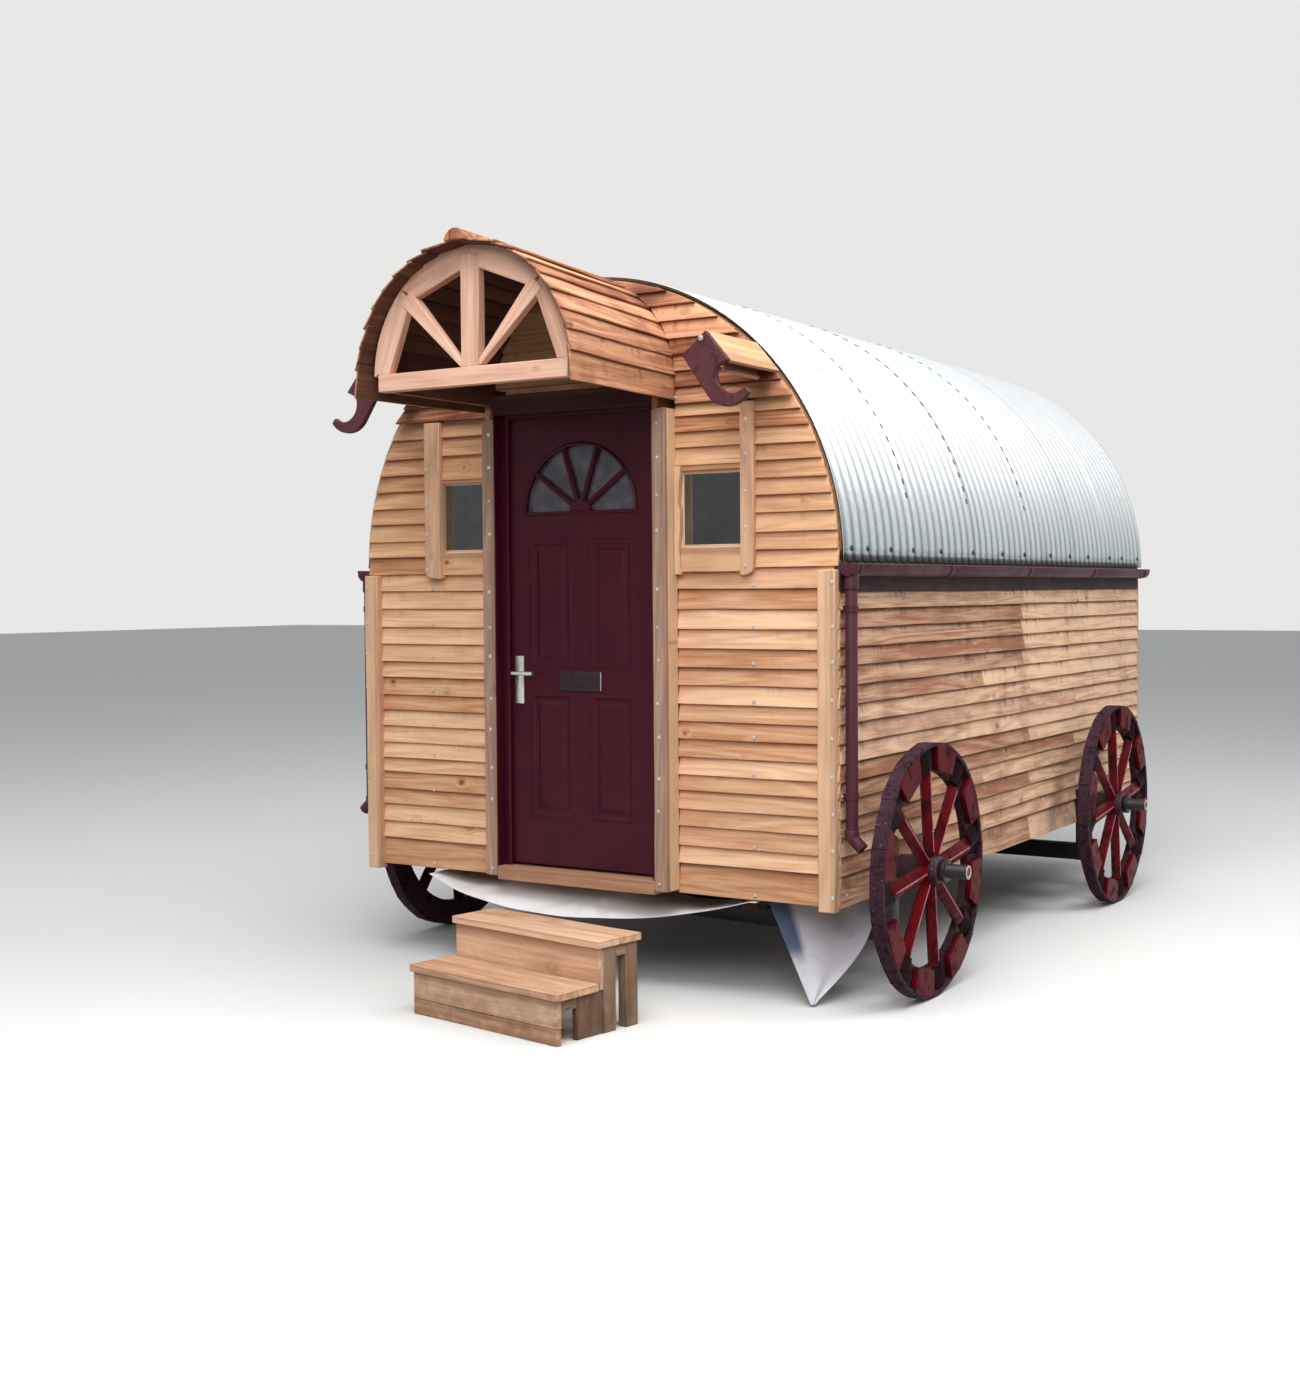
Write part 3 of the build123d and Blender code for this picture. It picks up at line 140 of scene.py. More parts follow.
class Shading:
    """Adds nodes to one tree and joins them."""

    def __init__(self, tree: bpy.types.NodeTree) -> None:
        """Keep the material's or group's tree."""
        self.tree = tree

    def add(self, kind: str, feeds: dict | None = None, **settings: object) -> bpy.types.Node:
        """Add one node.

        Args:
            kind: The node's type, without its ShaderNode prefix.
            feeds: A value or an output for each named or numbered input.
            settings: The node's own settings.

        Returns:
            The new node.
        """
        node = self.tree.nodes.new("ShaderNode" + kind)
        for name, value in settings.items():
            setattr(node, name, value)
        self.feed(node, feeds or {})
        return node

    def feed(self, node: bpy.types.Node, feeds: dict) -> None:
        """Join outputs to a node's inputs, or set the inputs' own values.

        Args:
            node: The node.
            feeds: A value or an output for each named or numbered input.
        """
        for key, value in feeds.items():
            if isinstance(value, Socket):
                self.tree.links.new(value, node.inputs[key])
            else:
                node.inputs[key].default_value = value

    def reckon(self, operation: str, first: object, second: object = 0.0, clamp: bool = False) -> Socket:
        """Do one piece of arithmetic and return its result."""
        return self.add("Math", {0: first, 1: second}, operation=operation, use_clamp=clamp).outputs[0]

    def times(self, first: object, second: object, clamp: bool = False) -> Socket:
        """Multiply two values."""
        return self.reckon("MULTIPLY", first, second, clamp)

    def plus(self, first: object, second: object, clamp: bool = False) -> Socket:
        """Add two values."""
        return self.reckon("ADD", first, second, clamp)

    def less(self, first: object, second: object) -> Socket:
        """Take the second value from the first."""
        return self.reckon("SUBTRACT", first, second)

    def mix(self, share: object, first: object, second: object) -> Socket:
        """Mix two colours and return the result."""
        return self.add("Mix", {0: share, 6: first, 7: second}, data_type="RGBA").outputs[2]

    def remap(self, value: object, low: float, high: float, start: float = 0.0, end: float = 1.0) -> Socket:
        """Map a value from one range to another, smoothly and held at its ends."""
        feeds = {0: value, 1: low, 2: high, 3: start, 4: end}
        return self.add("MapRange", feeds, interpolation_type="SMOOTHSTEP").outputs[0]

    def stretch(self, place: object, scale: Sequence[float], turn: Sequence[float] = (0, 0, 0)) -> Socket:
        """Scale and turn a place, and return it."""
        return self.add("Mapping", {"Vector": place, "Scale": scale, "Rotation": turn}).outputs[0]

    def noise(self, place: object, scale: float = 1.0, detail: float = 2.0, warp: float = 0.0) -> Socket:
        """Return cloud noise at a place."""
        feeds = {"Vector": place, "Scale": scale, "Detail": detail, "Distortion": warp}
        return self.add("TexNoise", feeds).outputs[0]

    def split(self, place: object) -> Sequence[Socket]:
        """Return the three parts of a place."""
        return self.add("SeparateXYZ", {0: place}).outputs

    def group(self, tree: bpy.types.NodeTree, **feeds: object) -> Sequence[Socket]:
        """Place a node group.

        Args:
            tree: The group.
            feeds: A value or an output for each input.

        Returns:
            The group's outputs.
        """
        node = self.add("Group", node_tree=tree)
        self.feed(node, feeds)
        return node.outputs

    def finish(
        self, height: Socket | None = None, strength: float = 0.3, depth: float = 0.001, **feeds: object
    ) -> None:
        """Feed the material's main shader.

        Args:
            height: The fine relief of its surface.
            strength: How strongly that shows.
            depth: How deep it is.
            feeds: A value or an output for each input of the shader, with spaces as underscores.
        """
        shader = self.tree.nodes["Principled BSDF"]
        self.feed(shader, {name.replace("_", " "): value for name, value in feeds.items()})
        if height is not None:
            bump = self.add("Bump", {"Strength": strength, "Distance": depth, "Height": height})
            self.feed(shader, {"Normal": bump.outputs[0]})


def open_group(name: str, inputs: dict, outputs: dict) -> tuple[Shading, dict, Callable]:
    """Start a shader node group.

    Args:
        name: The group's name.
        inputs: The default of each input, which also sets its kind.
        outputs: The kind of each output.

    Returns:
        The group's nodes, its inputs by name, and a function that joins its outputs.
    """
    tree = bpy.data.node_groups.new(name, "ShaderNodeTree")
    kinds = {float: "NodeSocketFloat", tuple: "NodeSocketColor", Vector: "NodeSocketVector"}
    for label, default in inputs.items():
        socket = tree.interface.new_socket(name=label, in_out="INPUT", socket_type=kinds[type(default)])
        socket.default_value = default
    for label, kind in outputs.items():
        tree.interface.new_socket(name=label, in_out="OUTPUT", socket_type=kinds[kind])
    enter = tree.nodes.new("NodeGroupInput")
    leave = tree.nodes.new("NodeGroupOutput")
    shading = Shading(tree)
    given = {label: enter.outputs[label] for label in inputs}
    return shading, given, lambda **feeds: shading.feed(leave, feeds)


class Patterns:
    """The node groups that several finishes share, each built once."""

    results = {"Colour": tuple, "Roughness": float, "Height": float}

    def __init__(self) -> None:
        """Build the groups."""
        self.grain = self._grain()
        self.weather_and_shade = self._weather_and_shade()
        self.wear = self._wear()

    def _grain(self) -> bpy.types.NodeTree:
        """Make sawn softwood: rings, fibres and knots along X of the place it is given.

        Returns:
            The group.
        """
        light, dark, knot = tint(220, 175, 135), tint(180, 128, 88), tint(110, 62, 36)
        start = {"Place": Vector(), "Light": light, "Dark": dark, "Knot": knot}
        start |= {"Knots": 0.4, "Tone": 0.5, "Contrast": 0.6}
        s, given, give = open_group("Timber grain", start, self.results)
        place = given["Place"]
        cell = s.add("TexVoronoi", {"Vector": s.stretch(place, (6.0, 8.0, 0.0)), "Scale": 1.0}).outputs
        chance = s.add("SeparateColor", {0: cell["Color"]}).outputs[0]
        picked = s.reckon("LESS_THAN", chance, given["Knots"])
        near = s.times(s.remap(cell["Distance"], 0.05, 0.3, 1.0, 0.0), picked)
        eye = s.times(s.remap(cell["Distance"], 0.055, 0.12, 1.0, 0.0), picked)
        slow = s.noise(s.stretch(place, (0.55, 7.0, 7.0)), 1.0, 2.0, 0.4)
        swell = s.plus(s.times(slow, 8.0), s.times(near, 0.9))
        rings = s.times(s.reckon("PINGPONG", swell, 0.5), 2.0)
        fibre = s.noise(s.stretch(place, (6.0, 130.0, 130.0)), 1.0, 4.0)
        broad = s.noise(s.stretch(place, (0.9, 5.0, 5.0)), 1.0, 3.0)
        shade = s.plus(s.plus(s.times(rings, 0.28), s.times(fibre, 0.62)), s.times(broad, 0.3))
        shade = s.plus(shade, s.times(s.less(given["Tone"], 0.5), 0.75))
        shade = s.times(s.less(shade, 0.6), given["Contrast"])
        colour = s.mix(s.plus(s.times(shade, 1.6), 0.45, clamp=True), given["Light"], given["Dark"])
        halo = s.mix(s.times(near, 0.35), colour, given["Dark"])
        relief = s.plus(s.times(fibre, 0.7), s.times(rings, 0.35))
        give(
            Colour=s.mix(s.times(eye, 0.85), halo, given["Knot"]),
            Roughness=s.plus(s.times(fibre, 0.25), 0.5),
            Height=s.less(relief, s.times(eye, 0.5)),
        )
        return s.tree

    def _weather_and_shade(self) -> bpy.types.NodeTree:
        """Make rain marks below each lap, a band of painted shade and damp just under each lap, soft
        blotches, greying, soil splashed up from the ground, and painted shade on the boards' inner faces.

        Returns:
            The group.
        """
        start = {"Colour": tint(200, 160, 120), "Place": Vector(), "Across": 0.5, "Stain": tint(104, 66, 44)}
        start |= {"Marks": 0.3, "Blotches": 0.3, "Grey": 0.0, "Soil": 0.0, "Depth": 0.0, "Inner": 0.0}
        s, given, give = open_group("Weathering and painted shade", start, {"Colour": tuple})
        place = given["Place"]
        runs = s.remap(s.noise(s.stretch(place, (30.0, 30.0, 2.2))), 0.5, 0.68)
        patch = s.plus(s.times(s.remap(s.noise(place, 1.9), 0.42, 0.6), 0.8), 0.2)
        below_lap = s.times(s.remap(given["Across"], 0.15, 0.8), patch)
        runs = s.times(s.times(runs, below_lap), given["Marks"])
        # Painted shade, partly damp: a dark band on each board just below the edge of the board lapped over
        # it
        lap_shade_and_damp = s.times(s.remap(given["Across"], 0.68, 0.79), s.plus(s.times(given["Marks"], 0.45), 0.25))
        blots = s.times(s.remap(s.noise(place, 3.1, 4.0, 0.8), 0.5, 0.74), given["Blotches"])
        stained = s.reckon("MAXIMUM", runs, s.reckon("MAXIMUM", lap_shade_and_damp, blots))
        colour = s.mix(stained, given["Colour"], given["Stain"])
        fade = s.times(s.remap(s.noise(place, 5.0, 3.0), 0.3, 0.7), given["Grey"])
        colour = s.mix(fade, colour, tint(150, 132, 118))
        splash = s.times(s.remap(s.split(place)[2], 0.02, 0.3, 1.0, 0.0), given["Soil"])
        splash = s.times(splash, s.remap(s.noise(place, 16.0, 3.0), 0.35, 0.6))
        colour = s.mix(splash, colour, tint(88, 62, 46))
        # Painted shade: the inner faces of boards, found by their depth, are darkened towards a deep brown
        inner = s.times(s.remap(given["Depth"], 0.4, 0.9), given["Inner"])
        give(Colour=s.mix(inner, colour, tint(58, 30, 26)))
        return s.tree

    def _wear(self) -> bpy.types.NodeTree:
        """Make paint rubbed and flaked in small patches, with dirt in a soft cloud.

        Returns:
            The group.
        """
        colour, under, dirt = tint(90, 20, 28), tint(150, 110, 100), tint(60, 44, 40)
        start = {"Place": Vector(), "Colour": colour, "Under": under, "Dirt": dirt}
        start |= {"Flakes": 0.2, "Dirtiness": 0.3, "Size": 1.0}
        s, given, give = open_group("Paint wear", start, self.results)
        place = s.add("VectorMath", {0: given["Place"], 3: given["Size"]}, operation="SCALE").outputs[0]
        limit = s.less(0.78, s.times(given["Flakes"], 0.3))
        flake = s.times(s.less(s.noise(place, 21.0, 6.0, 0.6), limit), 18.0, clamp=True)
        tone = s.times(s.less(s.noise(place, 4.0, 3.0), 0.35), 0.5, clamp=True)
        paint = s.mix(tone, given["Colour"], given["Dirt"])
        dirt = s.times(s.remap(s.noise(place, 7.0, 4.0, 1.0), 0.46, 0.7), given["Dirtiness"])
        give(
            Colour=s.mix(flake, s.mix(dirt, paint, given["Dirt"]), given["Under"]),
            Roughness=s.plus(s.times(dirt, 0.35), s.times(flake, 0.3)),
            Height=s.less(s.times(s.noise(place, 60.0), 0.4), flake),
        )
        return s.tree


def new_finish(name: str) -> tuple[bpy.types.Material, Shading, Socket]:
    """Start a material.

    Args:
        name: The material's name.

    Returns:
        The material, its nodes and the object's own coordinates.
    """
    material = bpy.data.materials.new(name)
    material.use_nodes = True
    shading = Shading(material.node_tree)
    return material, shading, shading.add("TexCoord").outputs["Object"]


# Finishes


@dataclass(frozen=True)
class Timber:
    """Sawn softwood. With an axis it follows the object's own coordinates, and otherwise each board's own."""

    name: str
    light: Shade
    dark: Shade
    knots: float = 0.34
    contrast: float = 0.6
    marks: float = 0.15
    blotches: float = 0.12
    grey: float = 0.0
    soil: float = 0.0
    stain: Shade = (112, 70, 46)
    axis: Along | None = None
    # How strongly the boards' inner faces are darkened as painted shade
    inner: float = 0.0

    def build(self, patterns: Patterns) -> bpy.types.Material:
        """Make the material.

        Args:
            patterns: The shared node groups.

        Returns:
            The finished material.
        """
        material, s, place = new_finish(self.name)
        if self.axis is None:
            layers = (s.add("Attribute", attribute_name=name) for name in ("grain", "board"))
            local, board = (layer.outputs["Vector"] for layer in layers)
            tone, across, depth = s.split(board)
        else:
            turn = (0, 0, math.pi / 2) if self.axis is Along.Y else (0, 0, 0)
            local, tone, across, depth = s.stretch(place, (1, 1, 1), turn), s.noise(place, 1.3), 0.3, 0.0
        colours = {"Light": tint(*self.light), "Dark": tint(*self.dark)}
        amounts = {"Knots": self.knots, "Tone": tone, "Contrast": self.contrast}
        wood = s.group(patterns.grain, Place=local, **amounts, **colours)
        weathered_and_shaded = s.group(
            patterns.weather_and_shade,
            Colour=wood["Colour"],
            Place=place,
            Across=across,
            Stain=tint(*self.stain),
            Marks=self.marks,
            Blotches=self.blotches,
            Grey=self.grey,
            Soil=self.soil,
            Depth=depth,
            Inner=self.inner,
        )
        gloss = {"Roughness": wood["Roughness"], "Specular_IOR_Level": 0.2}
        s.finish(wood["Height"], 0.45, 0.0012, Base_Color=weathered_and_shaded["Colour"], **gloss)
        return material


@dataclass(frozen=True)
class Paint:
    """A painted, moulded or forged finish with its own wear and dirt."""

    name: str
    colour: Shade
    under: Shade
    dirt: Shade
    flakes: float = 0.2
    dirtiness: float = 0.3
    rough: float = 0.35
    size: float = 1.0
    relief: float = 0.3
    metal: float = 0.0
    shine: float = 0.22

    def build(self, patterns: Patterns) -> bpy.types.Material:
        """Make the material.

        Args:
            patterns: The shared node groups.

        Returns:
            The finished material.
        """
        material, s, place = new_finish(self.name)
        worn = s.group(
            patterns.wear,
            Place=place,
            Colour=tint(*self.colour),
            Under=tint(*self.under),
            Dirt=tint(*self.dirt),
            Flakes=self.flakes,
            Dirtiness=self.dirtiness,
            Size=self.size,
        )
        s.finish(
            worn["Height"],
            self.relief,
            Base_Color=worn["Colour"],
            Roughness=s.plus(worn["Roughness"], self.rough, clamp=True),
            Metallic=self.metal,
            Specular_IOR_Level=0.5 if self.metal > 0.3 else self.shine,
        )
        return material


@dataclass(frozen=True)
class Galvanised:
    """Zinc-coated sheet, bright above and dulled greenish grey towards the eaves."""

    name: str = "galvanised_sheet_finish"
    bright: Shade = (224, 227, 230)
    dull: Shade = (196, 206, 208)
    grime: Shade = (78, 88, 92)

    def build(self, patterns: Patterns) -> bpy.types.Material:
        """Make the material.

        Args:
            patterns: The shared node groups, of which this uses none.

        Returns:
            The finished material.
        """
        material, s, place = new_finish(self.name)
        _, along, height = s.split(place)
        turn = s.times(s.less(along, FRONT + ROOF_FIRST), math.tau / ROOF_PITCH)
        valley = s.remap(s.reckon("COSINE", turn), 0.35, -0.85)
        runs = s.noise(s.stretch(place, (0.7, 34.0, 0.7)), 1.0, 3.0)
        wide = s.noise(s.stretch(place, (1.5, 3.0, 1.5)), 1.0, 3.0)
        edge = s.plus(height, s.times(s.less(runs, 0.5), 0.35))
        low = s.remap(edge, EAVES - 0.05, EAVES + 0.62, 1.0, 0.0)
        flake = s.add("TexVoronoi", {"Vector": place, "Scale": 95.0})
        spangle = s.times(s.add("SeparateColor", {0: flake.outputs["Color"]}).outputs[0], 0.1)
        colour = s.mix(low, tint(*self.bright), tint(*self.dull))
        colour = s.mix(s.times(valley, s.plus(s.times(low, 0.62), 0.1)), colour, tint(*self.grime))
        dim = s.times(s.times(s.remap(runs, 0.45, 0.75), 0.3), low)
        colour = s.mix(dim, colour, tint(*self.grime))
        colour = s.mix(spangle, colour, tint(255, 255, 255))
        rough = s.plus(s.plus(spangle, s.times(wide, 0.16)), 0.22)
        s.finish(wide, 0.12, Base_Color=colour, Metallic=0.6, Roughness=rough)
        return material


@dataclass(frozen=True)
class Glass:
    """Window glass, clear or with an obscured pattern."""

    name: str
    colour: Shade
    rough: float
    clear: float
    ripple: float
    scale: float

    def build(self, patterns: Patterns) -> bpy.types.Material:
        """Make the material.

        Args:
            patterns: The shared node groups, of which this uses none.

        Returns:
            The finished material.
        """
        material, s, place = new_finish(self.name)
        cell = s.add("TexVoronoi", {"Vector": place, "Scale": self.scale})
        # Pale bluish mottled patches, mixed into the glass's colour and roughness
        pale_mottle = s.remap(s.noise(place, 9.0, 4.0), 0.35, 0.75)
        s.finish(
            cell.outputs["Distance"],
            self.ripple,
            Base_Color=s.mix(s.times(pale_mottle, 0.35), tint(*self.colour), tint(176, 182, 192)),
            Roughness=s.plus(s.times(pale_mottle, 0.08), self.rough),
            Transmission_Weight=self.clear,
            IOR=1.5,
        )
        return material


@dataclass(frozen=True)
class SheetGoods:
    """A thin white or grey sheet, with a fine weave where it is a fabric."""

    name: str
    colour: Shade
    soiled: Shade
    weave: float
    rough: float
    soiling: float
    fold: Shade | None = None

    def build(self, patterns: Patterns) -> bpy.types.Material:
        """Make the material.

        Args:
            patterns: The shared node groups, of which this uses none.

        Returns:
            The finished material.
        """
        material, s, place = new_finish(self.name)
        cloud = s.remap(s.noise(place, 6.0, 5.0, 0.7), 0.5, 0.72)
        specks = s.remap(s.noise(place, 70.0, 3.0), 0.66, 0.72)
        dirt = s.times(s.reckon("MAXIMUM", cloud, specks), self.soiling)
        threads = s.add("UVMap", uv_map="weave").outputs[0]
        waves = {"Vector": threads, "Scale": 150.0}
        warp, weft = (s.add("TexWave", waves, bands_direction=way).outputs["Fac"] for way in "XY")
        cloth = s.times(warp, weft)
        colour = s.mix(dirt, tint(*self.colour), tint(*self.soiled))
        if self.fold is not None:
            across, down, _ = s.split(threads)
            flap = s.times(s.remap(across, 0.07, 0.12, 1.0, 0.0), s.remap(down, 0.2, 0.3, 1.0, 0.0))
            colour = s.mix(flap, colour, tint(*self.fold))
        s.finish(
            s.plus(s.times(cloth, self.weave), s.times(s.noise(place, 40.0, 3.0), 0.4)),
            Base_Color=s.mix(s.times(cloth, self.weave * 0.25), colour, tint(*self.soiled)),
            Roughness=s.plus(s.times(dirt, 0.2), self.rough),
        )
        return material


BROWN, PLUM = (84, 44, 44), (100, 8, 16)
FINISHES = {
    "front": Timber(
        "front_boards_finish", (250, 206, 167), (194, 136, 95), 0.26, 0.9, 0.2, 0.08, stain=BROWN
    ),
    "upper": Timber(
        "upper_boards_finish", (238, 189, 146), (172, 112, 74), 0.26, 0.9, 0.26, 0.12, stain=BROWN
    ),
    # The hood's boards carry painted shade on their inner faces
    "hood": Timber(
        "hood_boards_finish", (225, 166, 127), (126, 70, 48), 0.24, 1.0, 0.6, 0.55,
        stain=(80, 38, 30), inner=0.85,
    ),
    "side": Timber(
        "side_boards_finish", (248, 206, 171), (166, 112, 82), 0.24, 1.05, 0.8, 0.3, 0.08, stain=(90, 52, 44)
    ),
    # The eaves band's near black colour is a painted shadow of the eaves and gutter
    "band": Timber(
        "eaves_band_shadow_finish", (52, 33, 39), (30, 18, 24), 0.2, 0.7, 0.2, 0.2, 0.1, stain=(104, 84, 74)
    ),
    "batten": Timber("door_batten_finish", (228, 188, 162), (162, 124, 106), 0.2, 0.9, 0.0, 0.2, 0.35),
    "posts": Timber("post_finish", (246, 201, 163), (194, 144, 114), 0.3, 0.9, 0.0, 0.14, 0.12),
    # Fresh timber, made brighter still as painted light on the door posts' lit side faces
    "fresh_and_lit": Timber("fresh_lit_post_finish", (255, 224, 184), (252, 196, 150), 0.3, 0.8, 0.0, 0.1),
    "truss": Timber("truss_finish", (252, 206, 180), (204, 144, 117), 0.35, 0.9, 0.0, 0.12),
    "sill": Timber(
        "sill_finish", (204, 152, 118), (142, 96, 70), 0.2, 0.85, 0.0, 0.4, 0.15, stain=(88, 56, 44)
    ),
    # Painted shade: a near black brown for the beams in the shade under the hood and under the hook lids
    "beam": Timber("shaded_beam_finish", (78, 40, 38), (48, 24, 26), 0.0, 0.6),
    "stair": Timber("stair_finish", (255, 218, 184), (202, 150, 116), 0.45, 0.95, 0.1, 0.24, 0.06, 0.3),
    "legs": Timber("stair_leg_finish", (176, 148, 120), (114, 90, 72), 0.3, 0.9, 0.0, 0.3, 0.3, 0.4),
    "inside": Timber("inside_finish", (196, 158, 122), (150, 112, 80), 0.3, 0.5, axis=Along.X),
    "floor": Timber("floor_finish", (186, 146, 108), (138, 100, 70), 0.25, 0.6, 0.0, 0.3, axis=Along.Y),
    "joists": Timber("chassis_finish", (128, 100, 78), (84, 60, 46), 0.2, 0.6, 0.0, 0.4, 0.2, axis=Along.X),
    "door": Paint(
        "door_paint_finish", (74, 19, 36), (92, 44, 44), (44, 14, 26), 0.0, 0.35, 0.3, 0.6, 0.06, shine=0.16
    ),
    "gutter": Paint("gutter_finish", (80, 40, 50), (104, 74, 74), (48, 28, 36), 0.0, 0.35, 0.42, 1.0, 0.08),
    "hook": Paint(
        "hook_finish", (98, 58, 62), (150, 112, 112), (54, 28, 32), 0.12, 0.7, 0.45, 2.4, 0.25, shine=0.12
    ),
    "plates": Paint(
        "felloe_red_finish", (100, 8, 18), (140, 60, 66), (40, 10, 18), 0.06, 0.85, 0.3, 1.6, 0.12, shine=0.05
    ),
    "tread": Paint(
        "tread_finish", (66, 42, 52), (104, 84, 96), (36, 20, 28), 0.5, 0.8, 0.55, 4.0, 0.3, shine=0.08
    ),
    "joints": Paint(
        "felloe_joint_finish", (34, 14, 20), (72, 54, 62), (20, 8, 14), 0.2, 0.6, 0.5, 3.0, 0.4, shine=0.05
    ),
    "spokes": Paint("spoke_finish", PLUM, (140, 66, 72), (36, 8, 16), 0.06, 0.85, 0.3, 1.8, 0.12, shine=0.05),
    # Painted highlight: a pale strip along the top arris of each spoke
    "arris_highlight": Paint(
        "spoke_highlight_finish", (196, 112, 118), (232, 170, 172), (120, 30, 40), 0.4, 0.6, 0.35, 2.0
    ),
    "hub": Paint("hub_finish", (70, 50, 60), (126, 108, 118), (42, 28, 36), 0.4, 0.4, 0.45, 3.0, 0.4),
    "iron": Paint("axle_iron_finish", (34, 28, 32), (84, 70, 68), (50, 36, 34), 0.3, 0.4, 0.4, 2.5, 0.4, 0.4),
    "ring": Paint(
        "axle_ring_finish", (214, 188, 174), (150, 120, 108), (140, 120, 116), 0.2, 0.3, 0.4, 4.0, 0.1, 0.3
    ),
    "bright": Paint(
        "bright_fitting_finish", (214, 212, 210), (150, 140, 132), (150, 146, 142),
        0.05, 0.3, 0.28, 6.0, 0.1, 0.85,
    ),
    "dark_screws": Paint(
        "roof_screw_finish", (60, 64, 62), (120, 120, 116), (44, 46, 44), 0.15, 0.3, 0.4, 5.0, 0.2, 0.4
    ),
    "plate": Paint(
        "letter_plate_finish", (60, 44, 50), (190, 176, 176), (40, 30, 34), 0.05, 0.4, 0.36, 3.0, 0.1, 0.3
    ),
    "seal": Paint(
        "window_seal_finish", (226, 214, 200), (180, 160, 140), (190, 170, 150), 0.05, 0.3, 0.5, 3.0, 0.1
    ),
    "steel": Paint(
        "hinge_steel_finish", (150, 148, 146), (110, 90, 80), (90, 84, 80), 0.1, 0.3, 0.35, 4.0, 0.1, 0.9
    ),
    "roof": Galvanised(),
    "glass": Glass("clear_glass_finish", (216, 226, 226), 0.015, 1.0, 0.03, 3.0),
    "obscured": Glass("obscured_glass_finish", (74, 64, 82), 0.2, 0.4, 0.9, 75.0),
    "sheet": SheetGoods("white_sheet_finish", (246, 244, 244), (64, 46, 40), 0.0, 0.38, 0.2),
    "membrane": SheetGoods(
        "membrane_finish", (222, 218, 226), (136, 128, 134), 0.7, 0.85, 0.4, (84, 96, 122)
    ),
}


# Making meshes


def soften(mesh: Mesh, width: float, sharp: float = 0.6, segments: int = 1) -> None:
    """Bevel a mesh's sharp edges.

    Args:
        mesh: The mesh.
        width: The bevel's width.
        sharp: The angle from which an edge is bevelled.
        segments: How many steps it has.
    """
    edges = [e for e in mesh.edges if e.is_manifold and e.calc_face_angle(0.0) > sharp]
    options = {"offset": width, "offset_type": "OFFSET", "segments": segments, "profile": 0.5}
    bmesh.ops.bevel(mesh, geom=edges, affect="EDGES", material=-1, clamp_overlap=True, **options)


def saw(mesh: Mesh, point: Vector, outward: Vector, clear: bool = False) -> None:
    """Divide a mesh along a plane.

    Args:
        mesh: The mesh.
        point: A point of the plane.
        outward: The plane's direction.
        clear: Whether what lies beyond it goes, with the end closed.
    """
    geometry = mesh.verts[:] + mesh.edges[:] + mesh.faces[:]
    plane = {"plane_co": point, "plane_no": outward}
    bmesh.ops.bisect_plane(mesh, geom=geometry, dist=MERGED, clear_outer=clear, **plane)
    if clear:
        bmesh.ops.holes_fill(mesh, edges=[e for e in mesh.edges if e.is_boundary])


def arc(
    radius: float, start: float, end: float, steps: int, centre: Point = (0.0, 0.0)
) -> list[Point]:
    """Return places along an arc.

    Args:
        radius: Its radius.
        start: Its first angle.
        end: Its last angle.
        steps: How many steps it has.
        centre: Its middle.

    Returns:
        The places, across and up.
    """
    angles = (start + (end - start) * i / steps for i in range(steps + 1))
    return [(centre[0] + radius * math.cos(a), centre[1] + radius * math.sin(a)) for a in angles]


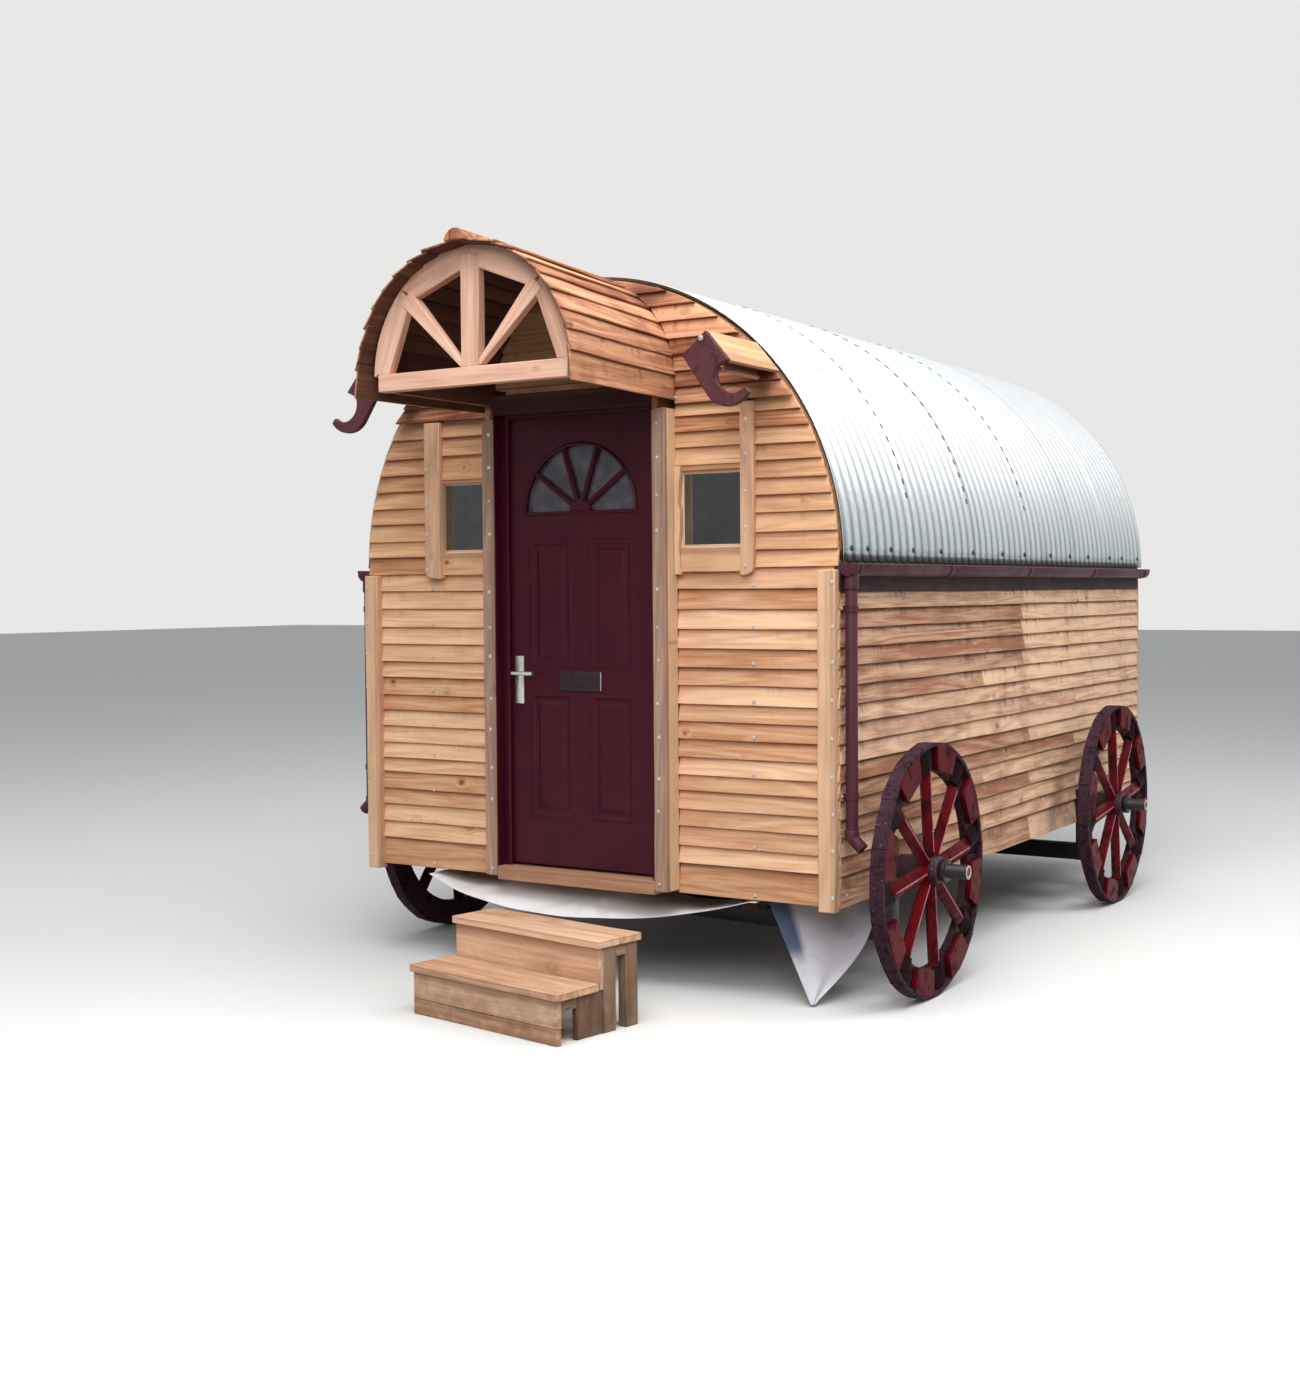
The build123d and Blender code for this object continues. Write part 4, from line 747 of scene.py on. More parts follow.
class Pile:
    """Boards, blocks and turned parts gathered into one mesh, each with its own grain."""

    def __init__(self, seed: int) -> None:
        """Start an empty pile.

        Args:
            seed: The seed of its random draws.
        """
        self.mesh = bmesh.new()
        self.rng = random.Random(seed)
        self.scrap = bpy.data.meshes.new("scrap")
        for layer in ("grain", "board"):
            self.mesh.verts.layers.float_vector.new(layer)

    def _open(self) -> tuple[Mesh, object, object]:
        """Start one solid with the pile's layers."""
        solid = bmesh.new()
        return solid, *(solid.verts.layers.float_vector.new(name) for name in ("grain", "board"))

    def _close(
        self, solid: Mesh, trims: Iterable[Trim], bevel: float, wobble: float, sharp: float = 0.5
    ) -> None:
        """Cut, bevel and loosen one solid, then add it to the pile.

        Args:
            solid: The solid.
            trims: A point and an outward direction for each cut.
            bevel: The width of its worn edges.
            wobble: How far its surface wanders.
            sharp: The angle from which an edge is bevelled.
        """
        for point, outward in trims:
            saw(solid, point, outward, clear=True)
        if len(solid.faces) < 4:
            solid.free()
            return
        bmesh.ops.recalc_face_normals(solid, faces=solid.faces)
        if bevel:
            soften(solid, bevel, sharp)
        if wobble:
            shift = self._draw(50)
            for vert in solid.verts:
                vert.co += noise.noise_vector(vert.co * 3.2 + shift) * wobble
        solid.to_mesh(self.scrap)
        solid.free()
        self.mesh.from_mesh(self.scrap)

    def _draw(self, reach: float = 60) -> Vector:
        """Draw a place of its own in the timber for one solid."""
        return Vector([self.rng.uniform(0, reach) for _ in range(3)])

    def board(
        self,
        start: Sequence[Vector],
        end: Sequence[Vector],
        cuts: int = 0,
        bevel: float = 0.0016,
        wobble: float = 0.0,
        trims: Iterable[Trim] = (),
        tone: float | None = None,
    ) -> None:
        """Add one board between two end sections.

        Args:
            start: Its first end's corners: low outer, high outer, high inner, low inner.
            end: The same four corners at its other end.
            cuts: How many times it is divided along its length, so that it can wander.
            bevel: The width of its worn edges.
            wobble: How far its surface wanders.
            trims: A point and an outward direction for each cut.
            tone: Its shade from 0, pale, to 1, dark.
        """
        solid, grain, board = self._open()
        tone = self.rng.uniform(0.15, 0.85) if tone is None else tone
        shift = self._draw()
        ends = [[Vector(corner) for corner in section] for section in (start, end)]
        first, last = (sum(section, Vector()) / 4 for section in ends)
        size = [(last - first).length, (ends[0][1] - ends[0][0]).length, (ends[0][3] - ends[0][0]).length]
        bmesh.ops.create_cube(solid, size=1.0)
        corner = {(0, 0): 0, (1, 0): 1, (1, 1): 2, (0, 1): 3}
        for vert in solid.verts:
            u, v, w = (round(c + 0.5) for c in vert.co)
            vert[grain] = shift + Vector((u * size[0], v * size[1], w * size[2]))
            vert[board] = (tone, v, w)
            vert.co = ends[u][corner[v, w]]
        for i in range(cuts):
            saw(solid, first.lerp(last, (i + 1) / (cuts + 1)), last - first)
        self._close(solid, trims, bevel, wobble)

    def block(
        self,
        low: Sequence[float],
        high: Sequence[float],
        along: Along = Along.X,
        side: int = 1,
        **options: object,
    ) -> None:
        """Add one squared timber.

        Args:
            low: One corner.
            high: The opposite corner.
            along: The axis that its grain follows.
            side: 1 as given, or -1 mirrored to the left of the hut.
            options: What a board may be given.
        """
        near, far = sorted((side * low[0], side * high[0]))
        low, high = (near, *low[1:]), (far, *high[1:])
        n = along.value
        across = 2 if along is not Along.Z else 0
        deep = 3 - n - across
        ends = []
        for end in (low, high):
            corners = []
            for v, w in ((low, low), (high, low), (high, high), (low, high)):
                place = [0.0, 0.0, 0.0]
                place[n], place[across], place[deep] = end[n], v[across], w[deep]
                corners.append(place)
            ends.append(corners)
        self.board(*ends, **options)

    def prism(
        self,
        outline: Sequence[Point],
        start: float,
        depth: float,
        grain_angle: float = 0.0,
        plane: Matrix | None = None,
        side: int = 1,
        bevel: float = 0.002,
        wobble: float = 0.0,
        tone: float | None = None,
    ) -> None:
        """Add a solid cut to an outline.

        Args:
            outline: Its corners, across and up.
            start: The depth of its front face.
            depth: How far it goes back.
            grain_angle: The turn of its grain from across, in radians.
            plane: Where the outline lies, if not upright across the hut.
            side: 1 as given, or -1 mirrored to the left of the hut.
            bevel: The width of its worn edges.
            wobble: How far its surface wanders.
            tone: Its shade from 0, pale, to 1, dark.
        """
        solid, grain, board = self._open()
        tone = self.rng.uniform(0.2, 0.8) if tone is None else tone
        shift = self._draw()
        face = solid.faces.new([solid.verts.new((side * x, start, z)) for x, z in outline])
        grown = bmesh.ops.extrude_face_region(solid, geom=[face])
        moved = [g for g in grown["geom"] if isinstance(g, bmesh.types.BMVert)]
        bmesh.ops.translate(solid, verts=moved, vec=(0, depth, 0))
        c, s = math.cos(grain_angle), math.sin(grain_angle)
        for vert in solid.verts:
            x, y, z = vert.co
            vert[grain] = shift + Vector((x * c + z * s, z * c - x * s, y))
            vert[board] = (tone, 0.3, 0.0)
        if plane is not None:
            bmesh.ops.transform(solid, matrix=plane, verts=solid.verts)
        self._close(solid, (), bevel, wobble, 0.6)

    def turned(self, profile: Sequence[Point], place: Matrix, steps: int = 16) -> None:
        """Add a turned part.

        Args:
            profile: Its radius and height at each step from foot to top, with both ends on the axis.
            place: Where it stands, with its axis along Z.
            steps: How many sides it has.
        """
        solid, grain, board = self._open()
        ring = [solid.verts.new((radius, 0, height)) for radius, height in profile]
        edges = [solid.edges.new(pair) for pair in zip(ring, ring[1:])]
        full = {"cent": (0, 0, 0), "axis": (0, 0, 1), "angle": math.tau, "use_merge": True}
        bmesh.ops.spin(solid, geom=ring + edges, steps=steps, **full)
        bmesh.ops.remove_doubles(solid, verts=solid.verts, dist=MERGED / 10)
        for vert in solid.verts:
            vert[grain] = vert.co
            vert[board] = (0.5, 0.3, 0.0)
        bmesh.ops.transform(solid, matrix=place, verts=solid.verts)
        self._close(solid, (), 0.0, 0.0)

    def move(self, matrix: Matrix) -> None:
        """Move all that the pile holds."""
        bmesh.ops.transform(self.mesh, matrix=matrix, verts=self.mesh.verts)


@dataclass
class Workshop:
    """Turns meshes into pieces that ride on the frame's bodies."""

    finishes: dict[str, bpy.types.Material]
    frame: dict
    made: list[str] = field(default_factory=list)

    def piece(
        self,
        name: str,
        source: Pile | Mesh,
        finish: str,
        slot: Slot,
        body: str = "hut",
        replaces: str = "",
        smooth: float = 40.0,
    ) -> bpy.types.Object:
        """Make a piece.

        Args:
            name: The piece's name.
            source: The pile or mesh that holds its shape.
            finish: The short name of its finish.
            slot: The record's slot; not used.
            body: The body that it rides on.
            replaces: The CAD node that it stands for.
            smooth: The angle in degrees below which its edges look round.

        Returns:
            The new object.
        """
        shape = source.mesh if isinstance(source, Pile) else source
        mesh = bpy.data.meshes.new(name)
        shape.to_mesh(mesh)
        shape.free()
        mesh.materials.append(self.finishes[finish])
        for face in mesh.polygons:
            face.use_smooth = True
        mesh.set_sharp_from_angle(angle=math.radians(smooth))
        item = bpy.data.objects.new(name, mesh)
        bpy.context.scene.collection.objects.link(item)
        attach(item, body)
        if replaces:
            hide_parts(replaces)
        self.made.append(name)
        LOG.info("%s: %d faces on %s", name, len(mesh.polygons), body)
        return item

    def dress(self, node: str, finish: str) -> None:
        """Give a CAD node its finish.

        Args:
            node: The node's name.
            finish: The short name of its finish.
        """
        data = self.frame["nodes"][node].data
        data.materials.clear()
        data.materials.append(self.finishes[finish])
        LOG.info("%s: dressed", node)

    def recast(
        self,
        node: str,
        finish: str,
        slot: Slot,
        body: str = "hut",
        bevel: float = 0.003,
        shape: Callable[[Mesh], None] | None = None,
    ) -> bpy.types.Object:
        """Replace a CAD node by a merged copy with softened edges.

        Args:
            node: The node's name.
            finish: The short name of its finish.
            slot: The record's slot.
            body: The body that it rides on.
            bevel: The width of its softened edges.
            shape: A change made to the copy before its edges are softened.

        Returns:
            The new object.
        """
        copy = bmesh.new()
        copy.from_mesh(self.frame["nodes"][node].data)
        bmesh.ops.remove_doubles(copy, verts=copy.verts, dist=MERGED)
        bmesh.ops.dissolve_limit(copy, angle_limit=0.01, verts=copy.verts, edges=copy.edges)
        if shape is not None:
            shape(copy)
        if bevel:
            soften(copy, bevel, segments=2)
        return self.piece(node + "_dressed", copy, finish, slot, body, node, 35.0)


# Boards on the walls


@dataclass(frozen=True)
class Face:
    """One flat outside face of the hut, on which distances along, out and up give a place."""

    axis: Along
    plane: float
    outward: int

    def at(self, along: float, out: float, height: float) -> Vector:
        """Return a place on the face."""
        depth = self.plane + self.outward * out
        return Vector((along, depth, height) if self.axis is Along.X else (depth, along, height))


FRONT_FACE = Face(Along.X, FRONT, -1)
REAR_FACE = Face(Along.X, REAR, 1)

LOWER_LEVELS = (
    0.424, 0.552, 0.628, 0.71, 0.78, 0.86, 0.927, 0.999, 1.075,
    1.151, 1.222, 1.304, 1.377, 1.457, 1.537, 1.62, 1.704, 1.79,
)
RIGHT_LEVELS = (1.79, 1.862, 1.933, 2.015, 2.084, 2.152, 2.224, 2.292, 2.361, 2.425, 2.48)
LEFT_LEVELS = (1.78, 1.859, 1.933, 2.012, 2.086, 2.163, 2.239, 2.314, 2.402, 2.48)
SIDE_LEVELS = (
    0.424, 0.552, 0.628, 0.706, 0.778, 0.856, 0.925, 1.001, 1.08,
    1.161, 1.235, 1.314, 1.392, 1.467, 1.543, 1.62, 1.686,
)
GABLE_LEVELS = (*(round(1.79 + 0.078 * i, 3) for i in range(16)), 3.034)
SKIRT_LEVELS = (2.476, 2.543, 2.611, 2.679, 2.747, 2.82, 2.885, 2.948, 3.005)
OVER_LEVELS = (2.52, 2.6, 2.68, 2.76, 2.84, 2.92, 2.99)


def arch_x(height: float) -> float:
    """Return how far the gable's edge is from the middle at a height."""
    return math.sqrt(max(ARCH**2 - max(height - EAVES, 0.0) ** 2, 0.0))


def hood_x(height: float) -> float:
    """Return how far the hood's side is from the middle where it meets the wall."""
    return math.sqrt(max(0.486**2 - max(height - 2.56, 0.0) ** 2, 0.0))


def slanted(side: int, foot: Point, head: Point) -> Trim:
    """Return the cut along a line, which clears what lies beyond it.

    Args:
        side: 1 to clear towards the right, or -1 towards the left.
        foot: The line's lower end, across and up.
        head: Its upper end.

    Returns:
        A point of the cut and its outward direction.
    """
    low, high = (Vector((x, 0, z)) for x, z in (foot, head))
    run = high - low
    return low, Vector((run.z, 0, -run.x)) * side


@dataclass
class Cladding:
    """Lapped boards on one face."""

    pile: Pile
    face: Face
    reach: float = 0.010
    step: float = 0.015
    lap: float = 0.024
    thick: float = 0.013
    wobble: float = 0.003

    def course(
        self,
        low: float,
        high: float,
        start: float,
        end: float,
        trims: Sequence[Trim] = (),
        tone: float | None = None,
    ) -> None:
        """Lay one board.

        Args:
            low: The height of its lower edge.
            high: The height of the next board's lower edge.
            start: Where it starts along the face.
            end: Where it ends.
            trims: Cuts at its ends.
            tone: Its shade.
        """
        rng = self.pile.rng
        top = high + self.lap
        reach = self.reach + rng.uniform(-0.0015, 0.0015)
        upper = reach - self.step / max(high - low, 0.03) * (top - low)
        low += rng.uniform(-0.0015, 0.0015)
        corners = ((reach, low), (upper, top), (upper - self.thick, top), (reach - self.thick - 0.003, low))
        ends = [[self.face.at(along, out, z) for out, z in corners] for along in (start, end)]
        cuts = max(2, int(abs(end - start) / 0.22))
        self.pile.board(*ends, cuts=cuts, wobble=self.wobble, trims=trims, tone=tone)

    def rows(self, levels: Sequence[float], start: float, end: float, arched: Sequence[int] = ()) -> None:
        """Lay a stack of boards.

        Args:
            levels: Each board's lower edge, and the top of the last.
            start: Where they start along the face.
            end: Where they end.
            arched: The sides on which their ends follow the gable's edge.
        """
        for low, high in zip(levels, levels[1:]):
            top = high + self.lap
            trims = [self.arch_cut(side, low, top) for side in arched if top > EAVES]
            self.course(low, high, start, end, trims)

    def arch_cut(self, side: int, low: float, high: float) -> Trim:
        """Return the cut that brings a board's end to the gable's edge.

        Args:
            side: 1 for its right end, or -1 for its left.
            low: The board's lower edge.
            high: Its upper edge.

        Returns:
            A point of the cut and its outward direction.
        """
        jitter = self.pile.rng.uniform(-0.002, 0.001)
        foot, head = ((side * (arch_x(z) + jitter), z) for z in (low, high))
        return slanted(side, foot, head)


@dataclass
class Walls:
    """The lapped boards of all four walls, their backing, the posts and the trim."""

    shop: Workshop
    backing: float = 0.028
    corner: Point = (1.144, 1.219)
    corner_heights: Point = (0.405, 1.775)
    post: Point = (0.411, 0.4745)
    post_heights: Point = (0.436, 2.456)
    post_proud: float = 0.077
    batten_proud: float = 0.102
    beam_depth: float = 0.05

    def build(self) -> None:
        """Make every piece of the walls."""
        self.backings()
        self.front_boards()
        self.side_boards()
        self.rear_boards()
        self.skirt()
        self.posts()
        self.trim()

    def backings(self) -> None:
        """Set the outside of each wall's solid back, behind its boards."""

        def set_back(mesh: Mesh) -> None:
            """Move the outer faces in by the backing's depth.

            Args:
                mesh: The wall.
            """
            for vert in mesh.verts:
                x, y, z = vert.co
                if abs(y - FRONT) < 1e-4:
                    vert.co.y += self.backing
                if abs(y - REAR) < 1e-4:
                    vert.co.y -= self.backing
                if abs(abs(x) - HALF) < 1e-4 and z < EAVES + 1e-4:
                    vert.co.x -= math.copysign(self.backing, x)

        for name in ("front_wall_left", "front_wall_right", "front_wall_over_door"):
            self.shop.recast(name, "inside", Slot.FRESH, bevel=0.0, shape=set_back)
        for name in ("rear_wall", "left_wall", "right_wall"):
            self.shop.recast(name, "inside", Slot.FRESH, bevel=0.0, shape=set_back)

    def front_boards(self) -> None:
        """Lay the boards beside the doorway."""
        lower, upper = Pile(11), Pile(12)
        base, high = Cladding(lower, FRONT_FACE), Cladding(upper, FRONT_FACE)
        for side in SIDES:
            base.rows(LOWER_LEVELS, *sorted((side * POST_EDGE, side * (HALF + 0.002))))
        high.rows(RIGHT_LEVELS, 0.843, HALF + 0.01, arched=[1])
        high.rows(LEFT_LEVELS, -HALF - 0.01, -0.842, arched=[-1])
        proud = Cladding(upper, FRONT_FACE, reach=0.024, step=0.016)
        proud.rows((2.219, 2.293, 2.358, 2.425, 2.48), POST_EDGE, 0.794)
        proud.rows((2.206, 2.319, 2.402, 2.48), -0.768, -POST_EDGE)
        upper.block((POST_EDGE, FRONT - 0.02, 2.196), (0.79, FRONT + 0.01, 2.24), wobble=0.002)
        upper.block((-0.764, FRONT - 0.018, 2.192), (-POST_EDGE, FRONT + 0.01, 2.23), wobble=0.002)
        over = Cladding(upper, FRONT_FACE, step=0.012)
        for low, top in zip(OVER_LEVELS, OVER_LEVELS[1:]):
            trims = []
            for side in SIDES:
                trims.append(slanted(side, *((side * (hood_x(z) - 0.004), z) for z in (low, top + over.lap))))
            over.course(low, top, -0.48, 0.48, trims)
        self.shop.piece("front_boards_lower", lower, "front", Slot.FRESH)
        self.shop.piece("front_boards_upper", upper, "upper", Slot.FRESH)

    def side_boards(self) -> None:
        """Lay the boards of both long walls, in two lengths a course with darker and lighter tones as painted
        shade and light, and the plain band under the eaves, painted near black as the shadow of the eaves and
        gutter.
        """
        start, end = FRONT + 0.002, REAR - 0.002
        for name, side, seed in (("right", 1, 21), ("left", -1, 22)):
            pile, band = Pile(seed), Pile(seed + 10)
            rows = Cladding(pile, Face(Along.Y, side * HALF, side))
            for i, (low, top) in enumerate(zip(SIDE_LEVELS, SIDE_LEVELS[1:])):
                # Painted shade and light: the front length of each course and the courses under the eaves get
                # darker tones, the rear length a lighter one
                joint = FRONT + (2.1 if i >= 11 else (2.2, 1.55, 2.9)[i % 3]) + pile.rng.uniform(-0.02, 0.02)
                dark = pile.rng.uniform(*((0.5, 0.95) if i >= 10 else (0.3, 0.8)))
                rows.course(low, top, start, joint - 0.001, tone=dark)
                rows.course(low, top, joint + 0.001, end, tone=pile.rng.uniform(0.1, 0.5))
            # The band under the eaves, in a finish painted dark as their shadow
            low, high = (HALF - 0.02, start, 1.69), (HALF + 0.006, end, EAVES)
            band.block(low, high, Along.Y, side, cuts=12, wobble=0.003)
            self.shop.piece(f"side_boards_{name}", pile, "side", Slot.FRESH)
            self.shop.piece(f"eaves_band_{name}", band, "band", Slot.WEATHERED)

    def rear_boards(self) -> None:
        """Lay the boards of the rear wall up to its arch."""
        pile = Pile(31)
        rows = Cladding(pile, REAR_FACE)
        rows.rows(LOWER_LEVELS, -HALF - 0.002, HALF + 0.002)
        rows.rows(GABLE_LEVELS, -HALF - 0.01, HALF + 0.01, arched=SIDES)
        self.shop.piece("rear_boards", pile, "front", Slot.FRESH)

    def skirt(self) -> None:
        """Lay the proud boards beside the hood, cut to the arch and to the hood."""
        pile = Pile(41)
        rows = Cladding(pile, FRONT_FACE, reach=0.037, step=0.016, thick=0.015, lap=0.022)
        for low, top in zip(SKIRT_LEVELS, SKIRT_LEVELS[1:]):
            for side in SIDES:
                head = top + rows.lap
                inner = ((side * hood_x(z), z) for z in (low, head))
                trims = [rows.arch_cut(side, low, head), slanted(-side, *inner)]
                rows.course(low, top, *sorted((side * 0.05, side * (HALF + 0.02))), trims)
        self.shop.piece("gable_skirt_boards", pile, "hood", Slot.FRESH)

        def set_back(mesh: Mesh) -> None:
            """Sink the skirt's face behind its boards.

            Args:
                mesh: The skirt.
            """
            for vert in mesh.verts:
                if vert.co.y < FRONT - 0.02:
                    vert.co.y += 0.024
                vert.co.z = max(vert.co.z, 2.482)

        for side in ("left", "right"):
            self.shop.recast(f"gable_skirt_{side}", "hood", Slot.FRESH, bevel=0.0, shape=set_back)

    def posts(self) -> None:
        """Make the corner posts, door posts with their battens, sill, head beam and lining."""
        corner, fresh_and_lit, batten, beam, sill, lining = (Pile(51 + i) for i in range(6))
        (near, far), (foot, head) = self.post, self.post_heights
        face, middle = FRONT - self.batten_proud, FRONT - self.post_proud
        for side in SIDES:
            for low_y, high_y in ((FRONT - 0.04, FRONT + 0.012), (REAR - 0.012, REAR + 0.0365)):
                low, high = zip(self.corner, (low_y, high_y), self.corner_heights)
                corner.block(low, high, Along.Z, side, cuts=8, wobble=0.004, bevel=0.003, tone=0.2)
            low, high = (near, middle, foot), (far, FRONT, head)
            # The door posts' bright finish is partly painted light on their side faces
            fresh_and_lit.block(low, high, Along.Z, side, cuts=10, wobble=0.002, tone=0.2)
            # The battens' dark tone is partly painted shade from the hood, on top of their greying
            low, high = (near, face, foot), (far, middle - 0.0005, head)
            batten.block(low, high, Along.Z, side, cuts=10, wobble=0.003, bevel=0.003, tone=0.7)
        long = {"wobble": 0.002, "bevel": 0.003, "cuts": 4}
        sill.block((-0.41, face, 0.4205), (0.41, FRONT, 0.48), **long)
        beam.block((-0.41, face, 2.475), (0.41, face + self.beam_depth, 2.56), **long)
        for side in SIDES:
            low, high = (0.405, face + 0.001, 0.481), (0.4105, FRONT - 0.0505, 2.474)
            lining.block(low, high, Along.Z, side, bevel=0.002)
        self.shop.piece("corner_post_timbers", corner, "posts", Slot.WEATHERED, replaces="corner_posts")
        self.shop.piece("door_post_timbers", fresh_and_lit, "fresh_and_lit", Slot.FRESH, replaces="door_posts")
        self.shop.piece("door_batten_timbers", batten, "batten", Slot.WEATHERED, replaces="door_post_battens")
        # The head beam takes the painted shade of the hood
        self.shop.piece("door_head_beam", beam, "beam", Slot.FRESH, replaces="door_head")
        self.shop.piece("door_sill_timber", sill, "sill", Slot.FRESH, replaces="door_sill")
        self.shop.piece("doorway_lining", lining, "door", Slot.DOOR)

    def trim(self) -> None:
        """Make the battens and aprons round the windows, with the outer battens' curved feet."""
        pile, apron = Pile(61), Pile(62)
        upright, edge, low = math.pi / 2, POST_EDGE + 0.002, 1.765
        right, left = (1, 0.503, 0.788, 0.062, 0.025), (-1, 0.506, 0.762, 0.088, 0.045)
        for side, inner, outer, width, depth in (right, left):
            far = outer + width
            foot = [(outer, 1.79), (outer, 2.468), (far, 2.468), (far, 1.79)]
            foot += [(far - 0.008, 1.774), (far - 0.024, 1.764)]
            foot += [(outer + 0.012, 1.758), (outer - 0.004, 1.763)]
            pile.prism(foot, FRONT - depth, depth + 0.005, upright, side=side, tone=0.5)
            wavy = [(edge, low), (edge, 2.215)]
            for i in range(13):
                wander = 0.005 * math.sin(i * 1.1 + side) + 0.0025 * math.sin(i * 2.7)
                wavy.append((inner + wander - 0.002, max(2.215 - i * 0.0375, low)))
            pile.prism(wavy, FRONT - 0.032, 0.036, upright, side=side, tone=0.25)
            corners = (inner, FRONT - 0.024, 1.776), (outer, FRONT + 0.012, 1.876)
            apron.block(*corners, Along.X, side, cuts=2, wobble=0.001, tone=0.15)
        self.shop.piece("window_battens", pile, "posts", Slot.WEATHERED, replaces="window_trim")
        self.shop.piece("window_aprons", apron, "upper", Slot.FRESH)


# Hood


@dataclass
class Hood:
    """The barrel hood over the door, with its truss, ridge slab and bearers."""

    shop: Workshop
    reach: float = 0.85
    bottom: float = 2.49
    front_arch: Point = (0.537, 2.543)
    wall_arch: Point = (0.483, 2.56)
    exposures: tuple[float, ...] = (0.112, 0.086, 0.084, 0.086, 0.083, 0.086, 0.085, 0.084, 0.186)
    lap: float = 0.024
    truss_arch: Point = (0.499, 2.569)
    truss_depths: Point = (0.79, 0.745)
    knee: Point = (0.298, 2.857)
    ridge_front: float = 3.08
    ridge_wall: float = 3.043

    def build(self) -> None:
        """Make every piece of the hood."""
        self.boards()
        self.truss()
        self.ridge()
        self.bearers()

    def section(self, length: float, share: float, out: float) -> Point:
        """Return a place on the hood's outside.

        Args:
            length: The way up from its lower edge, as a part of the whole way to its crown.
            share: How far it is from the front edge, 0, to the wall, 1.
            out: How far it stands out from the surface.

        Returns:
            The place on the right-hand side, across and up.
        """
        radius, centre = (a + (b - a) * share for a, b in zip(self.front_arch, self.wall_arch))
        straight = centre - self.bottom
        way = length * (straight + radius * math.pi / 2)
        if way < straight:
            return radius + out, self.bottom + way
        angle = (way - straight) / radius
        return (radius + out) * math.cos(angle), centre + (radius + out) * math.sin(angle)

    def boards(self) -> None:
        """Lay the lapped boards along both sides."""
        pile = Pile(71)
        radius, centre = self.front_arch
        whole = centre - self.bottom + radius * math.pi / 2
        for side in SIDES:
            way = 0.0
            for exposure in self.exposures:
                low, high = way / whole, min((way + exposure + self.lap) / whole, 1.0)
                front = -0.008 - pile.rng.uniform(0, 0.01)
                foot = 0.004 + pile.rng.uniform(-0.001, 0.003)
                head = -0.001 if high == 1.0 else -0.0075
                ends = []
                for share in (front, 1.004):
                    places = ((low, foot), (high, head), (high, head - 0.011), (low, foot - 0.013))
                    corners = [self.section(length, share, out) for length, out in places]
                    ends.append([Vector((side * x, FRONT - self.reach * (1 - share), z)) for x, z in corners])
                pile.board(*ends, cuts=6, wobble=0.005, bevel=0.0025)
                way += exposure
        self.shop.piece("hood_boards", pile, "hood", Slot.FRESH, replaces="hood_shell")

    def truss(self) -> None:
        """Make the arch in four lengths, the chord, the king post and the struts."""
        pile = Pile(72)
        front, back = (FRONT - depth for depth in self.truss_depths)
        thick = back - front
        outer, centre = self.truss_arch
        knee, quarter = Vector(self.knee), math.pi / 4
        lower = (0.02, quarter, (0.415, 2.588), (knee.x + 0.024, knee.y - 0.024))
        upper = (quarter, 2 * quarter, (knee.x - 0.024, knee.y + 0.024), (0.045, 2.969))
        for side in SIDES:
            for start, end, foot, head in (lower, upper):
                outline = arc(outer, start, end, 8, (0.0, centre))
                if start < quarter:
                    outline += [(knee.x, knee.y + 0.002), head, foot, (0.47, 2.588)]
                else:
                    outline[-1:] = [(0.0, centre + outer), (0.0, 2.972), head, foot]
                angle = math.atan2(head[1] - foot[1], side * (head[0] - foot[0]))
                pile.prism(outline, front + 0.004, thick - 0.004, angle, side=side, bevel=0.003)
        chord = [(-0.47, 2.515), (-0.47, 2.5865), (0.47, 2.5865), (0.47, 2.515)]
        pile.prism(chord, front - 0.004, thick, 0.0, bevel=0.003, tone=0.3)
        post = (-0.045, front + 0.001, 2.587), (0.045, back - 0.002, 3.03)
        pile.block(*post, Along.Z, bevel=0.003, tone=0.35)
        for side in SIDES:
            foot, head = Vector((side * 0.02, 2.588)), Vector((side * 0.325, 2.888))
            run = (head - foot).normalized()
            edge = Vector((-run.y, run.x)) * 0.037
            outline = [foot - edge, foot + edge, head + edge * 0.95, head - edge * 0.95][::side]
            cut = [(side * max(side * p.x, 0.045), max(p.y, 2.587)) for p in outline]
            pile.prism(cut, front - 0.001, thick - 0.003, math.atan2(run.y, run.x), bevel=0.003, tone=0.25)
        self.shop.piece("hood_truss_timbers", pile, "truss", Slot.FRESH, replaces="hood_truss")

    def ridge(self) -> None:
        """Make the half-round slab along the crown, with the waney underside of its front end."""
        pile = Pile(73)
        fall = self.ridge_front - self.ridge_wall
        start = Vector((0, FRONT - 0.88, self.ridge_front - 0.001 + fall * 0.03 / self.reach))
        angles = [math.radians(12 + 156 * i / 10) for i in range(11)]
        outline = [(0.0525 * math.cos(angle), -0.016 + 0.054 * math.sin(angle)) for angle in angles]
        outline += [(-0.05, -0.012), (-0.02, -0.008), (0.02, -0.008), (0.05, -0.012)]
        plane = Matrix.Translation(start) @ Matrix.Rotation(-math.atan2(fall, self.reach), 4, "X")
        length = math.hypot(self.reach, fall) + 0.03
        pile.prism(outline, 0.0, length, math.pi / 2, plane, wobble=0.005, tone=0.7)
        self.shop.piece("hood_ridge_slab", pile, "hood", Slot.FRESH, replaces="hood_ridge")

    def bearers(self) -> None:
        """Make the bearers under the hood and the blocks on the door posts."""
        pile = Pile(74)
        near, back = 0.4115, FRONT - self.truss_depths[1]
        for side in SIDES:
            bearer = (near, back, 2.515), (0.453, FRONT, 2.586)
            pile.block(*bearer, Along.Y, side, cuts=3, wobble=0.002, bevel=0.003)
            pile.block((near, FRONT - 0.102, 2.4565), (0.457, FRONT, 2.5145), Along.Y, side, bevel=0.003)
        self.shop.piece("hood_bearer_timbers", pile, "hood", Slot.FRESH, replaces="hood_bearers")


# Roof


